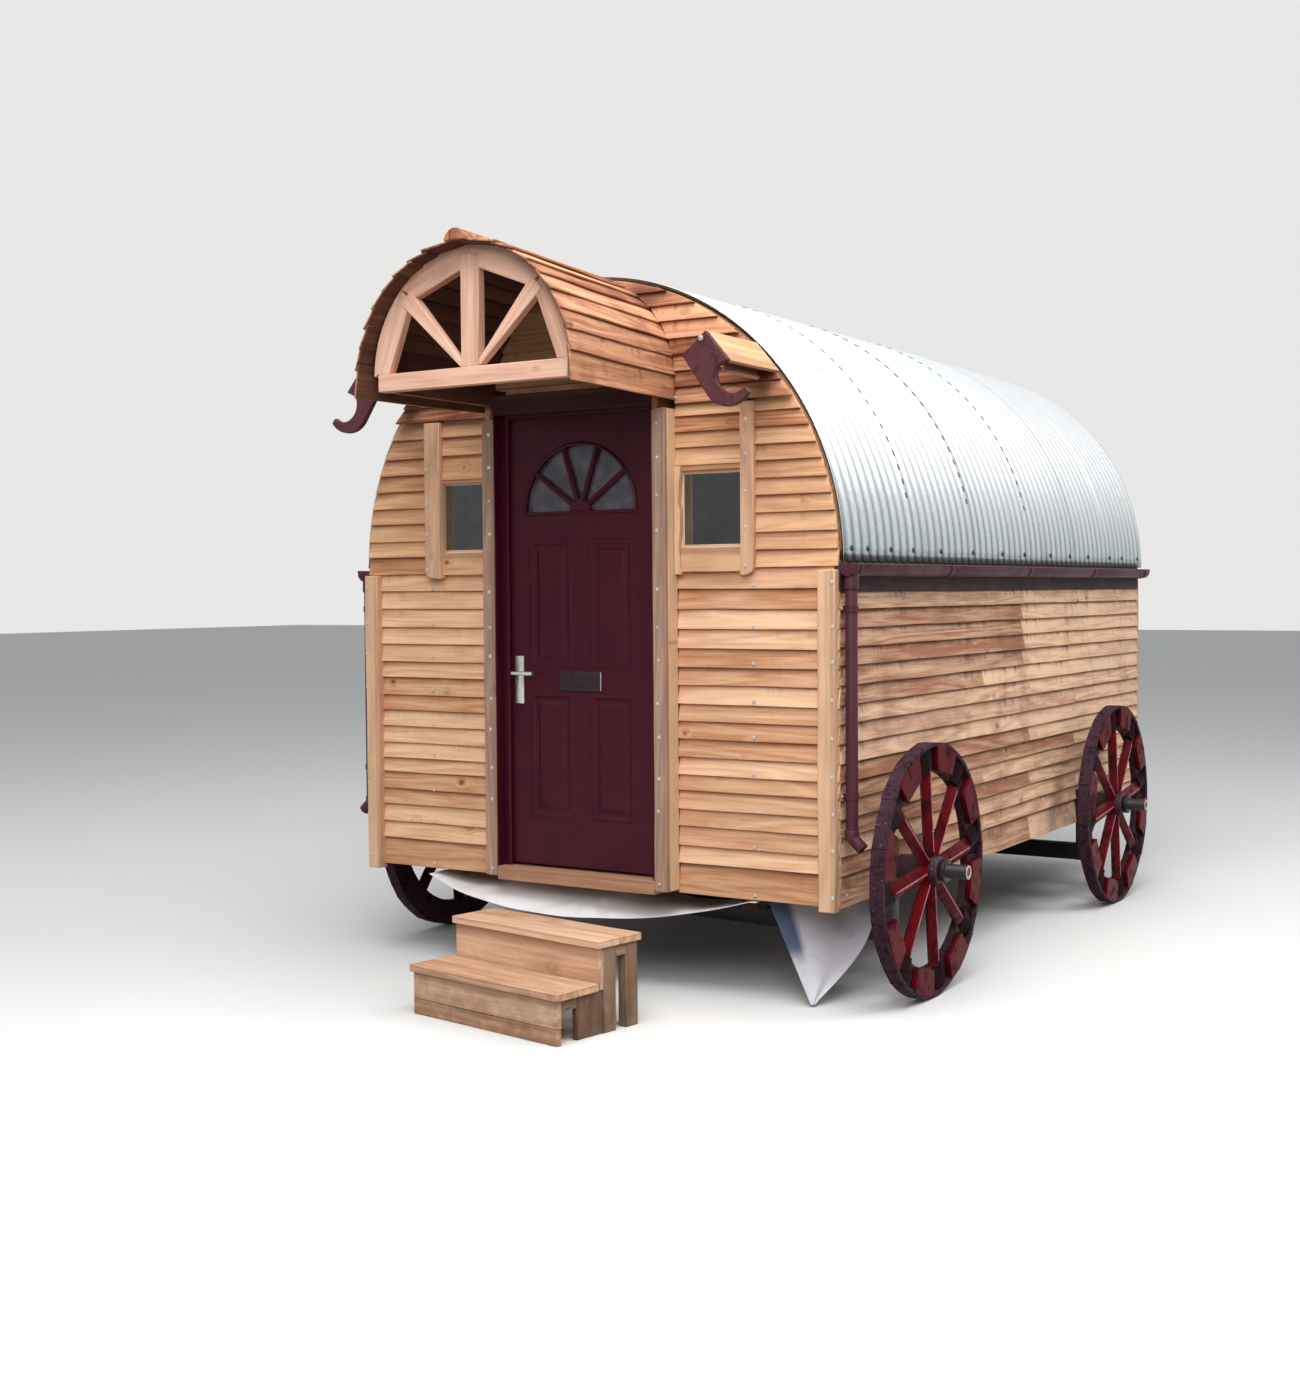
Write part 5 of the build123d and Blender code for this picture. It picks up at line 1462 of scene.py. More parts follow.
def half_turn(mesh: Mesh, section: list, height: float, steps: int) -> None:
    """Sweep a section over the hut's middle line, from its right to its left.

    Args:
        mesh: The mesh.
        section: Its vertices, edges and faces that are swept.
        height: The height of the line that it turns round.
        steps: How many steps it has.
    """
    options = {"cent": (0, 0, height), "axis": (0, -1, 0), "angle": math.pi, "use_merge": False}
    bmesh.ops.spin(mesh, geom=section, steps=steps, **options)
    bmesh.ops.recalc_face_normals(mesh, faces=mesh.faces)


@dataclass
class Roof:
    """The corrugated sheets, laid from the front to the back, with their screws."""

    shop: Workshop
    first: float = ROOF_FIRST
    pitch: float = ROOF_PITCH
    middle: float = 1.2312
    wave: float = 0.0072
    gauge: float = 0.0011
    overlap: float = 0.05
    seams: tuple[float, ...] = (0.01, 0.69, 1.40, 2.10, 2.80, 3.44, 4.085)
    steps: int = 72
    eaves_screws: tuple[float, ...] = (
        0.059, 0.277, 0.492, 0.691, 1.036, 1.398, 1.748, 2.096, 2.447, 2.773, 3.094, 3.434, 3.708, 3.98
    )

    def sheet(self, start: float, end: float, lift: float) -> Mesh:
        """Make one curved sheet.

        Args:
            start: Its front edge, from the front of the hut.
            end: Its back edge.
            lift: How far it lies over its neighbours.

        Returns:
            The mesh, open at its edges.
        """
        mesh = bmesh.new()
        count = int((end - start) / self.pitch * 8)
        ring = []
        for i in range(count + 1):
            y = start + (end - start) * i / count
            phase = math.tau * (y - self.first) / self.pitch
            radius = self.middle + lift + self.wave * math.cos(phase)
            ring.append(mesh.verts.new((radius, FRONT + y, EAVES)))
        edges = [mesh.edges.new(pair) for pair in zip(ring, ring[1:])]
        half_turn(mesh, ring + edges, EAVES, self.steps)
        spots = ((face.normal, face.calc_center_median()) for face in mesh.faces)
        if sum(normal.dot(spot - Vector((0, spot.y, EAVES))) for normal, spot in spots) < 0:
            bmesh.ops.reverse_faces(mesh, faces=mesh.faces)
        return mesh

    def build(self) -> None:
        """Make the sheets, the screws and the core's finish."""
        options = {"replaces": "roof_sheets", "smooth": 60}
        for i, (start, end) in enumerate(zip(self.seams, self.seams[1:])):
            over = 0.0 if end == self.seams[-1] else self.overlap
            mesh = self.sheet(start, end + over, 0.0004 * (i % 2))
            item = self.shop.piece(f"roof_sheet_{i + 1}", mesh, "roof", Slot.ROOF, **options)
            gauge = item.modifiers.new("gauge", "SOLIDIFY")
            gauge.thickness = self.gauge
            gauge.offset = -1.0
        self.screws()
        self.shop.dress("roof_core", "inside")

    def screws(self) -> None:
        """Set dark domed screws along both eaves and a dashed line of small dark tabs up each seam."""
        pile = Pile(81)
        dome = [(0.0, 0.0), (0.0125, 0.0), (0.0125, 0.0016), (0.01, 0.0044), (0.0055, 0.0066), (0.0, 0.0072)]
        small = [(radius * 0.5, height * 0.6) for radius, height in dome]
        for y in map(self.crest, self.eaves_screws):
            for profile, turns in ((dome, (2.4, 177.6)), (small, (88.0, 92.0))):
                for turn in turns:
                    self.screw(pile, profile, turn, y)
        for seam in self.seams[1:4]:
            for i in range(4, 57):
                self.tab(pile, 3.0 * i + pile.rng.uniform(-0.2, 0.2) + 1.5, self.crest(seam + 0.03))
        self.shop.piece("roof_screws", pile, "dark_screws", Slot.ROOF)

    def crest(self, y: float) -> float:
        """Return the crest nearest to a distance from the front."""
        return self.first + round((y - self.first) / self.pitch) * self.pitch

    def tab(self, pile: Pile, turn: float, y: float) -> None:
        """Set one small dark tab on a crest of the sheets.

        Args:
            pile: The pile that it joins.
            turn: How far round the barrel it sits, in degrees from the right-hand eaves.
            y: Its distance from the front.
        """
        angle = math.radians(turn)
        outward = Vector((math.cos(angle), 0, math.sin(angle)))
        upward = Vector((-math.sin(angle), 0, math.cos(angle)))
        middle = Vector((0, FRONT + y, EAVES)) + outward * (self.middle + 0.0084)
        basis = Matrix((Vector((0, 1, 0)), -outward, upward)).transposed().to_4x4()
        corners = [(-0.006, -0.013), (0.006, -0.013), (0.006, 0.013), (-0.006, 0.013)]
        pile.prism(corners, 0.0, 0.003, plane=Matrix.Translation(middle) @ basis, bevel=0.0008)

    def screw(self, pile: Pile, profile: Sequence[Point], turn: float, y: float) -> None:
        """Set one screw on a crest of the sheets.

        Args:
            pile: The pile that it joins.
            profile: Its turned shape.
            turn: How far round the barrel it sits, in degrees from the right-hand eaves.
            y: Its distance from the front.
        """
        angle = math.radians(turn)
        outward = Vector((math.cos(angle), 0, math.sin(angle)))
        foot = Vector((0, FRONT + y, EAVES)) + outward * (self.middle + self.wave - 0.0006)
        place = Matrix.Translation(foot) @ outward.to_track_quat("Z", "Y").to_matrix().to_4x4()
        pile.turned(profile, place, 8)


@dataclass
class Rainwater:
    """The gutters and downpipes with their unions, brackets and clips."""

    shop: Workshop
    axis_x: float = 1.2583
    axis_z: float = 1.788
    radius: float = 0.0375
    rim: float = 1.8
    bead: float = 0.0042
    pipe: float = 0.024
    straps: tuple[float, ...] = (0.06, 1.01, 2.03, 3.045, 3.98)

    def build(self) -> None:
        """Make the gutters, pipes and fittings."""
        self.shop.recast("gutters", "gutter", Slot.GUTTER, bevel=0.0006)
        self.shop.recast("downpipes", "gutter", Slot.GUTTER, bevel=0.0006)
        pile, bore = Pile(91), self.pipe
        for side in SIDES:
            self.lip(pile, side)
            for y in self.straps:
                self.strap(pile, side, y, 0.034 if 1 < y < 3.5 else 0.02)
            pipe = Matrix.Translation((side * self.axis_x, FRONT + 0.036, 0))
            for low, high, radius in ((1.70, 1.762, 0.0305), (0.695, 0.735, 0.0285)):
                collar = [(bore, low), (radius, low), (radius, high - 0.004), (radius - 0.003, high)]
                pile.turned([*collar, (bore, high), (bore, low)], pipe, 24)
            for z in (1.62, 0.87):
                low, high, radius = z - 0.012, z + 0.012, 0.0285
                pile.turned([(bore, low), (radius, low), (radius, high), (bore, high), (bore, low)], pipe, 24)
        self.shop.piece("rainwater_fittings", pile, "gutter", Slot.GUTTER)

    def lip(self, pile: Pile, side: int) -> None:
        """Roll a bead along a gutter's outer edge.

        Args:
            pile: The pile that it joins.
            side: 1 for the right-hand gutter, or -1 for the left.
        """
        x, turns = side * (self.axis_x + self.radius), (i * math.tau / 8 for i in range(8))
        outline = [(x + self.bead * math.cos(a), self.rim - 0.0025 + self.bead * math.sin(a)) for a in turns]
        pile.prism(outline, FRONT + 0.0005, 4.059, bevel=0.0)

    def strap(self, pile: Pile, side: int, y: float, width: float) -> None:
        """Wrap a bracket or union round the outside of a gutter.

        Args:
            pile: The pile that it joins.
            side: 1 for the right-hand gutter, or -1 for the left.
            y: Its distance from the front.
            width: Its width along the gutter.
        """
        outline = []
        for radius, order in ((self.radius + 0.004, 1), (self.radius, -1)):
            row = arc(radius, math.pi, math.tau, 12, (0.0, self.axis_z))
            outline += [(-radius, self.rim), *row, (radius, self.rim)][::order]
        placed = [(max(abs(side * self.axis_x + x), HALF + 0.0003), z) for x, z in outline]
        pile.prism(placed, FRONT + y - width / 2, width, side=side, bevel=0.0008)


# Hooks and fixings


@dataclass
class Hooks:
    """The brown curled plates beside the hood, each with its lid board and beam."""

    shop: Workshop
    top: Point = (0.864, 2.699)
    slope: float = 50.0
    reach: float = 0.404

    def build(self) -> None:
        """Make the plates' finish, the lids and the beams."""
        hooks = self.shop.recast("wall_hooks", "hook", Slot.HOOK, bevel=0.003)
        for face in hooks.data.polygons:
            face.use_smooth = face.area < 0.002
        lids, beams, scraps = Pile(101), Pile(102), Pile(103)
        slope = math.radians(self.slope)
        for side in SIDES:
            along = Vector((side * math.cos(slope), 0, -math.sin(slope)))
            inward = Vector((-side * math.sin(slope), 0, -math.cos(slope)))
            top = Vector((side * self.top[0], 0, self.top[1]))
            for pile, (a0, a1), (i0, i1) in (
                (lids, (-0.004, 0.156), (0.0, 0.0145)),
                (beams, (0.004, 0.148), (0.015, 0.0215)),
                (beams, (0.0325, 0.1075), (0.022, 0.069)),
                (scraps, (0.096, 0.126), (0.07, 0.088)),
            ):
                ends = []
                for y in (FRONT - (0.3 if pile is scraps else self.reach), FRONT - 0.01):
                    corners = ((a0, i0), (a1, i0), (a1, i1), (a0, i1))
                    ends.append([top + along * a + inward * i + Vector((0, y, 0)) for a, i in corners])
                pile.board(*ends, cuts=3, wobble=0.002, bevel=0.002)
        self.shop.piece("hook_lid_boards", lids, "upper", Slot.FRESH, replaces="hook_lids")
        # The beams take painted shade from the lids above them
        self.shop.piece("hook_beam_timbers", beams, "beam", Slot.FRESH, replaces="hook_beams")
        self.shop.piece("hook_wedges", scraps, "truss", Slot.FRESH)


SCREW = (
    (0.0, 0.0), (0.0085, 0.0), (0.0085, 0.0012), (0.0062, 0.0014),
    (0.0056, 0.0046), (0.003, 0.0058), (0.0, 0.006),
)
SCREW_ROWS = (
    (1.208, -0.0405, (1.723, 1.553, 1.407, 1.256, 1.109, 0.953, 0.806, 0.654, 0.466)),
    (0.437, -0.1025, (2.393, 2.249, 2.099, 1.95, 1.701, 1.542, 1.409, 1.229, 1.087, 0.915, 0.776, 0.469)),
    (0.84, -0.0115, (1.718, 1.551, 1.399, 1.243, 1.091, 0.943, 0.79, 0.642, 0.447)),
    (0.472, -0.034, (2.502,)),
    (0.491, -0.034, (2.502,)),
)


@dataclass
class Fixings:
    """The rows of bright screws on the boards, posts, battens, pipe clips and hooks."""

    shop: Workshop
    window_rows: tuple[Point, ...] = ((0.812, -0.0255), (-0.838, -0.0455))
    window_heights: tuple[float, ...] = (2.393, 2.255, 2.1, 1.959, 1.801)
    side_x: float = 1.226
    side_spots: tuple[Point, ...] = (
        (0.016, 1.62), (0.056, 1.62), (0.016, 0.87), (0.056, 0.87),
        (0.05, 1.05), (0.05, 0.47), (2.1, 0.47), (2.75, 0.48),
    )

    def build(self) -> None:
        """Set every screw."""
        pile, pins, forward = Pile(111), Pile(112), Matrix.Rotation(math.pi / 2, 4, "X")
        spots = [(side * x, out, z) for side in SIDES for x, out, heights in SCREW_ROWS for z in heights]
        spots += [(x, out, z) for x, out in self.window_rows for z in self.window_heights]
        for x, out, z in spots:
            wander = Vector((pile.rng.uniform(-0.003, 0.003), 0, pile.rng.uniform(-0.004, 0.004)))
            place = Matrix.Translation(Vector((x, FRONT + out + 0.0008, z)) + wander)
            pile.turned(SCREW, place @ forward, 8)
        for side in SIDES:
            outward = Matrix.Rotation(side * math.pi / 2, 4, "Y")
            for y, z in self.side_spots:
                pile.turned(SCREW, Matrix.Translation((side * self.side_x, FRONT + y, z)) @ outward, 8)
            place = Matrix.Translation((side * 0.845, FRONT - 0.4315, 2.672))
            pins.turned([(radius * 1.35, height * 1.1) for radius, height in SCREW], place @ forward, 12)
        self.shop.piece("board_screws", pile, "bright", Slot.BRIGHT)
        self.shop.piece("hook_screws", pins, "bright", Slot.BRIGHT)


# Door and windows


@dataclass
class Door:
    """The panelled leaf with its fan of glass, and the frame round it."""

    shop: Workshop
    panel_x: float = 0.159
    panel_width: float = 0.22
    panel_heights: tuple[Point, ...] = ((0.704, 1.25), (1.366, 1.921))
    panel_steps: tuple[Point, ...] = (
        (0.004, 0.0025), (0.008, 0.001), (0.01, -0.0085), (0.014, 0.0), (0.016, 0.0075)
    )
    fan_z: float = 2.046
    fan_radius: float = 0.286
    fan_hub: float = 0.052
    fan_base: Point = (0.296, 0.014)

    def build(self) -> None:
        """Make the mouldings, the fan's bead and every finish of the doorway."""
        for node, finish in (("door_leaf", "door"), ("fan_glass", "obscured")):
            self.shop.dress(node, finish)
        for node in ("door_hinge_flaps", "door_hinge_pins"):
            self.shop.dress(node, "steel")
        self.shop.recast("door_frame", "door", Slot.DOOR, bevel=0.002)
        self.shop.recast("letter_plate", "plate", Slot.BRIGHT, "door", 0.003)
        self.shop.recast("door_handle", "bright", Slot.BRIGHT, "door", 0.002)
        self.panels()
        self.bead()
        self.bars()
        self.flap()

    def panels(self) -> None:
        """Raise a field with sloped edges in each of the eight sunk panels."""
        whole = bmesh.new()
        scrap = bpy.data.meshes.new("panel")
        for face_y, out in ((LEAF_FRONT, -1), (LEAF_BACK, 1)):
            for side in SIDES:
                for low, high in self.panel_heights:
                    part = bmesh.new()
                    bmesh.ops.create_cube(part, size=1.0)
                    bmesh.ops.scale(part, verts=part.verts, vec=(self.panel_width, 0.01, high - low))
                    middle = Vector((side * self.panel_x, face_y - out * 0.0055, (low + high) / 2))
                    bmesh.ops.translate(part, verts=part.verts, vec=middle)
                    face = [max(part.faces, key=lambda f: f.normal.y * out)]
                    for width, depth in self.panel_steps:
                        options = {"thickness": width, "depth": depth, "use_even_offset": True}
                        bmesh.ops.inset_region(part, faces=face, **options)
                    part.to_mesh(scrap)
                    part.free()
                    whole.from_mesh(scrap)
        self.shop.piece("door_panel_mouldings", whole, "door", Slot.DOOR, "door", smooth=12)

    def bead(self) -> None:
        """Set a bead round the half-round light."""
        whole = bmesh.new()
        corners = ((0.0, 0.0), (0.0, -0.006), (0.006, -0.009), (0.013, -0.005), (0.015, 0.0))
        radius = self.fan_radius - 0.002
        ring = [whole.verts.new((radius + r, LEAF_FRONT + y, self.fan_z)) for r, y in corners]
        face = whole.faces.new(ring)
        half_turn(whole, [face, *face.edges, *face.verts], self.fan_z, 36)
        self.shop.piece("fan_bead", whole, "door", Slot.DOOR, "door")

    def bars(self) -> None:
        """Set a rib down each of the fan's bars, its half-round hub and its base."""
        pile, middle = Pile(121), Vector((0, 0, self.fan_z))
        front, back = (Vector((0, LEAF_FRONT + y, 0)) for y in (-0.004, 0.002))
        for i in range(1, 5):
            angle = math.radians(36 * i)
            run = Vector((math.cos(angle), 0, math.sin(angle)))
            edge = Vector((-run.z, 0, run.x))
            ends = []
            for distance, half in ((0.05, 0.0075), (self.fan_radius - 0.001, 0.0055)):
                low, high = (middle + run * distance + edge * (s * half) for s in SIDES)
                ends.append([low + front, high + front, high + back, low + back])
            pile.board(*ends, bevel=0.0022)
        hub = arc(self.fan_hub, 0.0, math.pi, 14, (0.0, self.fan_z))
        pile.prism(hub, LEAF_FRONT - 0.005, 0.008, bevel=0.002)
        x, drop = self.fan_base
        low, high = self.fan_z - drop, self.fan_z
        pile.prism([(-x, low), (-x, high), (x, high), (x, low)], LEAF_FRONT - 0.007, 0.009, bevel=0.0025)
        self.shop.piece("fan_bars", pile, "door", Slot.DOOR, "door")

    def flap(self) -> None:
        """Set the letter plate's flap and its bright end."""
        flap, edge = Pile(122), Pile(123)
        flap.block((-0.088, LEAF_FRONT - 0.0115, 1.285), (0.088, LEAF_FRONT - 0.008, 1.33), bevel=0.001)
        low, high = (0.105, LEAF_FRONT - 0.0095, 1.267), (0.1085, LEAF_FRONT - 0.002, 1.349)
        edge.block(low, high, Along.Z, bevel=0.0008)
        self.shop.piece("letter_flap", flap, "plate", Slot.BRIGHT, "door")
        self.shop.piece("letter_plate_edge", edge, "bright", Slot.BRIGHT, "door")


@dataclass
class Windows:
    """The two small front windows."""

    shop: Workshop
    openings: tuple[Point, ...] = ((0.652, 0.162), (-0.641, 0.149))
    height: float = 2.035
    width: float = 0.014

    def build(self) -> None:
        """Make the frames' timber, the bead of sealant and the glass's finish."""
        frames, seal = Pile(131), Pile(132)
        for middle, half in self.openings:
            clear = half - self.width
            timber = (frames, (half, clear), (0.1645, 0.151), (1.8705, 2.1995), (0.0005, 0.08), 0.001, {})
            inner, worn = (clear + 0.0005, clear - 0.005), {"cuts": 8, "wobble": 0.001}
            bead = (seal, inner, (0.1515, 0.147), (1.884, 2.186), (-0.001, 0.004), 0.0015, worn)
            for side in SIDES:
                for pile, across, up, (foot, head), (front, back), bevel, worn in (timber, bead):
                    near, far = FRONT + front, FRONT + back
                    low, high = sorted(middle + side * reach for reach in across)
                    pile.block((low, near, foot), (high, far, head), Along.Z, bevel=bevel, **worn)
                    low, high = sorted(self.height + side * reach for reach in up)
                    pile.block((middle - clear, near, low), (middle + clear, far, high), bevel=bevel)
        self.shop.piece("window_frame_timbers", frames, "fresh_and_lit", Slot.WINDOW, replaces="window_frames")
        self.shop.piece("window_seals", seal, "seal", Slot.WINDOW)
        self.shop.dress("window_glass", "glass")


# Wheels and chassis


RISE = Vector((0, 0, 1))


def ray(angle: float) -> tuple[Vector, Vector]:
    """Return the directions along and across a spoke of a wheel that lies flat."""
    run = Vector((math.cos(angle), math.sin(angle), 0))
    return run, Vector((-run.y, run.x, 0))


@dataclass
class Wheel:
    """One crude cart wheel: diamond spokes, red felloe plates between dark joints, and a worn tread."""

    shop: Workshop
    name: str
    side: int
    setback: float
    inner: float
    seed: int
    thick: float = 0.062
    radius: float = WHEEL_RADIUS
    rim: float = 0.13
    planks: int = 16
    bore: float = 0.0302
    hub_radius: float = 0.0555
    hub_foot: float = 1.2825

    def place(self) -> Matrix:
        """Return the turn and place that bring a wheel lying flat, face up, to its axle."""
        turn = Matrix(((0, 0, self.side, 0), (self.side, 0, 0, 0), (0, 1, 0, 0), (0, 0, 0, 1)))
        return Matrix.Translation((0, FRONT + self.setback, self.radius)) @ turn

    def build(self) -> None:
        """Make the wheel's pieces."""
        first = math.pi / 2 + self.side * math.radians(6)
        angles = [first - i * math.tau / 8 for i in range(8)]
        self.tread()
        self.felloes(angles)
        self.spokes(angles)
        self.hub()

    def piece(self, what: str, pile: Pile, finish: str, slot: Slot, replaces: str = "") -> None:
        """Make a piece that rides on this wheel.

        Args:
            what: The piece's name, after the wheel's.
            pile: The pile that holds its shape.
            finish: The short name of its finish.
            slot: The record's slot.
            replaces: The CAD node that it stands for, after the wheel's name.
        """
        node = f"{self.name}_{replaces}" if replaces else ""
        self.shop.piece(f"{self.name}_{what}", pile, finish, slot, self.name, node)

    def tread(self) -> None:
        """Lay the tread in short worn planks, and turn the dark ring behind the plates."""
        pile, steps = Pile(self.seed), 3
        low, high = self.inner, self.inner + self.thick
        for i in range(self.planks):
            start, end = (math.tau * (i + k) / self.planks + math.radians(6) for k in (0.004, 0.996))
            shift = pile.rng.uniform(-0.0025, 0.0015)
            outer, inside = self.radius - 0.0006 - pile.rng.uniform(0, 0.001), self.radius - 0.021
            foot, head = Vector((0, 0, low + 0.002 + shift)), Vector((0, 0, high - 0.001 + shift))
            for k in range(steps):
                sections = []
                for angle in (start + (end - start) * k / steps, start + (end - start) * (k + 1) / steps):
                    out = outer - (0.0 if angle in (start, end) else 0.0035)
                    run, _ = ray(angle)
                    near, far = run * inside, run * out
                    sections.append([far + foot, far + head, near + head, near + foot])
                pile.board(*sections, bevel=0.0 if k == 1 else 0.0014)
        back, front = self.radius - self.rim + 0.004, self.radius - 0.019
        near, far = low + 0.004, low + 0.036
        pile.turned([(back, near), (front, near), (front, far), (back, far), (back, near)], Matrix(), 64)
        pile.move(self.place())
        self.piece("tread", pile, "tread", Slot.WHEEL_BROWN, "rim")

    def felloes(self, angles: Sequence[float]) -> None:
        """Set the red plates between the spokes and the dark joints at their ends.

        Args:
            angles: The turn of each spoke.
        """
        plates, joints = Pile(self.seed + 1), Pile(self.seed + 2)
        top, half = self.inner + self.thick, math.radians(11.8)
        flat = Matrix(((1, 0, 0, 0), (0, 0, 1, 0), (0, 1, 0, 0), (0, 0, 0, 1)))
        inner = (self.radius - self.rim + 0.004) / math.cos(half * 0.94)
        for angle in (spoke + self.side * math.radians(2.5) for spoke in angles):
            middle = angle - math.tau / 16
            outline = [(self.radius - 0.014, middle - half + 2 * half * k / 6) for k in range(7)]
            outline += [(inner, middle + s * half * 0.94) for s in (1, -1)]
            outline = [(reach * math.cos(a), reach * math.sin(a)) for reach, a in outline]
            foot = top - 0.022 + plates.rng.uniform(-0.001, 0.001)
            plates.prism(outline, foot, 0.0225, plane=self.place() @ flat, bevel=0.0015)
            self.joint(joints, angle, top)
        self.piece("felloe_plates", plates, "plates", Slot.WHEEL_RED)
        self.piece("felloe_joints", joints, "joints", Slot.WHEEL_BROWN)

    def joint(self, pile: Pile, angle: float, top: float) -> None:
        """Set one dark ridged block where a spoke meets the rim.

        Args:
            pile: The pile that it joins.
            angle: The turn of its middle.
            top: The height of the wheel's face, as it lies flat.
        """
        (run, edge), matrix = ray(angle), self.place()
        ridge, shoulder, foot = (Vector((0, 0, top - drop)) for drop in (0.004, 0.030, 0.044))
        for s in SIDES:
            sections = []
            for distance, half in ((self.radius - self.rim + 0.002, 0.066), (self.radius - 0.015, 0.092)):
                spot, out = run * distance, run * distance + edge * (s * half)
                corners = (spot + ridge, out + shoulder, out + foot, spot + foot)
                sections.append([matrix @ corner for corner in corners])
            pile.board(*sections, bevel=0.002)

    def spokes(self, angles: Sequence[float]) -> None:
        """Set the eight diamond spokes and a pale strip along each one's top arris, a painted highlight.

        Args:
            angles: The turn of each spoke.
        """
        pile, arris_highlight = Pile(self.seed + 3), Pile(self.seed + 4)
        middle, matrix = self.inner + self.thick / 2, self.place()
        rise, end = RISE * 0.026, self.radius - self.rim
        for angle in angles:
            run, edge = ray(angle)
            sections, strip = [], []
            for distance, wide in ((0.03, 0.036), (end + 0.01, 0.043)):
                spot = run * distance + RISE * middle
                corners = (spot + rise, spot + edge * wide, spot - rise, spot - edge * wide)
                sections.append([matrix @ corner for corner in corners])
            # A pale strip along the top arris: painted highlight
            for distance in (0.075, end - 0.012):
                spot = run * distance + RISE * (middle + 0.0262)
                corners = ((-0.0035, 0.0008), (0.0035, 0.0008), (0.003, 0.006), (-0.003, 0.006))
                strip.append([matrix @ (spot + edge * out - RISE * drop) for out, drop in corners])
            pile.board(*sections, bevel=0.003, cuts=3, wobble=0.001)
            arris_highlight.board(*strip, bevel=0.0008)
        self.piece("spoke_timbers", pile, "spokes", Slot.WHEEL_RED, "spokes")
        self.piece("spoke_highlights", arris_highlight, "arris_highlight", Slot.WHEEL_RED)

    def hub(self) -> None:
        """Turn the small hub round the axle's bore."""
        pile, bore, out, face = Pile(self.seed + 5), self.bore, self.hub_radius, self.hub_radius - 0.0055
        low, high = self.hub_foot, self.inner + self.thick + 0.0215
        profile = [(bore, low), (face, low), (out, low + 0.006), (out, high - 0.006), (face, high)]
        pile.turned([*profile, (bore, high), (bore, low)], self.place(), 32)
        self.piece("hub", pile, "hub", Slot.WHEEL_BROWN)


WHEELS = (
    ("wheel_front_right", 1, 0.447, 1.384, 201),
    ("wheel_front_left", -1, 0.72, 1.284, 211),
    ("wheel_rear_right", 1, 2.98, 1.384, 221),
    ("wheel_rear_left", -1, 2.98, 1.384, 231),
)


@dataclass
class Chassis:
    """The floor, joists, rails and axles."""

    shop: Workshop
    cap: tuple[Point, ...] = (
        (0.0, -0.002), (0.029, -0.002), (0.029, 0.0004), (0.0275, 0.0012),
        (0.0195, 0.0012), (0.018, -0.0012), (0.0, -0.0012),
    )

    def build(self) -> None:
        """Give each its finish and set the bright ends of the axles."""
        self.shop.dress("floor_deck", "floor")
        self.shop.dress("floor_joists", "joists")
        self.shop.dress("chassis_rails", "joists")
        pile = Pile(141)

        def shorten(mesh: Mesh) -> None:
            """Bring the stubs' ends in by the thickness of their rings.

            Args:
                mesh: The axle.
            """
            for vert in mesh.verts:
                if abs(vert.co.x) > 1.5895 or abs(vert.co.x + 1.49) < 5e-4:
                    vert.co.x -= math.copysign(0.0022, vert.co.x)

        for axle in ("front_axle", "rear_axle"):
            self.shop.recast(axle, "iron", Slot.IRON, bevel=0.003, shape=shorten)
        for _, side, setback, inner, _ in WHEELS:
            end = Vector((side * (inner + 0.2045), FRONT + setback, WHEEL_RADIUS))
            pile.turned(self.cap, Matrix.Translation(end) @ Matrix.Rotation(side * math.pi / 2, 4, "Y"), 20)
        self.shop.piece("axle_end_caps", pile, "ring", Slot.IRON)


# Stair


@dataclass
class Stair:
    """The box stair of two treads in front of the door."""

    shop: Workshop
    width: float = 0.835
    depth: float = 0.244
    lower: float = 0.2
    upper: float = 0.362
    tread: float = 0.03
    gap: float = 0.003
    leg: Point = (0.042, 0.07)
    corner: Point = (0.548, -1.012)
    turn: float = -9.5

    def place(self) -> Matrix:
        """Return the stair's own frame: X along its treads, and Y up the flight."""
        turn = Matrix.Rotation(math.radians(self.turn), 4, "Z")
        return Matrix.Translation((self.corner[0], FRONT + self.corner[1], 0)) @ turn

    def build(self) -> None:
        """Make the treads, risers and frame."""
        treads, risers, frame = Pile(151), Pile(152), Pile(153)
        back = self.depth - 0.012
        for front, top in ((0.0, self.lower), (back, self.upper)):
            board = (self.depth - self.gap) / 2 - (0.006 if top == self.lower else 0)
            for i in range(2):
                low = front + i * (board + self.gap)
                over = treads.rng.uniform(-0.003, 0.0)
                corners = (-self.width, low, top - self.tread), (over, low + board, top)
                treads.block(*corners, cuts=4, wobble=0.002, bevel=0.003)
        left, right, face = 0.012 - self.width, -0.012, back + 0.012
        for near, far, low, high in (
            (0.012, 0.036, 0.001, 0.062),
            (0.0115, 0.036, 0.064, 0.1698),
            (face, face + 0.024, 0.171, 0.3318),
        ):
            risers.block((left, near, low), (right, far, high), cuts=4, wobble=0.002, bevel=0.002)
        leg_front, leg_back = face + 0.024, back + self.depth - 0.082
        width, depth = self.leg
        for low in (left, right - width):
            high = low + width
            for y in (leg_front, leg_back):
                frame.block((low, y, 0.001), (high, y + depth, 0.3318), Along.Z, wobble=0.002, bevel=0.003)
            frame.block((low, leg_front + depth, 0.287), (high, leg_back, 0.3315), Along.Y, bevel=0.003)
            low, high, middle = low + 0.008, high - 0.008, face - 0.118
            frame.block((low, middle, 0.001), (high, leg_front, 0.1695), Along.Z, bevel=0.002)
            frame.block((low, 0.036, 0.125), (high, middle, 0.1695), Along.Y, bevel=0.002)
        for pile in (treads, risers, frame):
            pile.move(self.place())
        self.shop.piece("stair_tread_boards", treads, "stair", Slot.FRESH, replaces="stair_treads")
        self.shop.piece("stair_riser_boards", risers, "stair", Slot.FRESH, replaces="stair_risers")
        self.shop.piece("stair_frame_timbers", frame, "legs", Slot.WEATHERED, replaces="stair_frame")


# Loose sheets


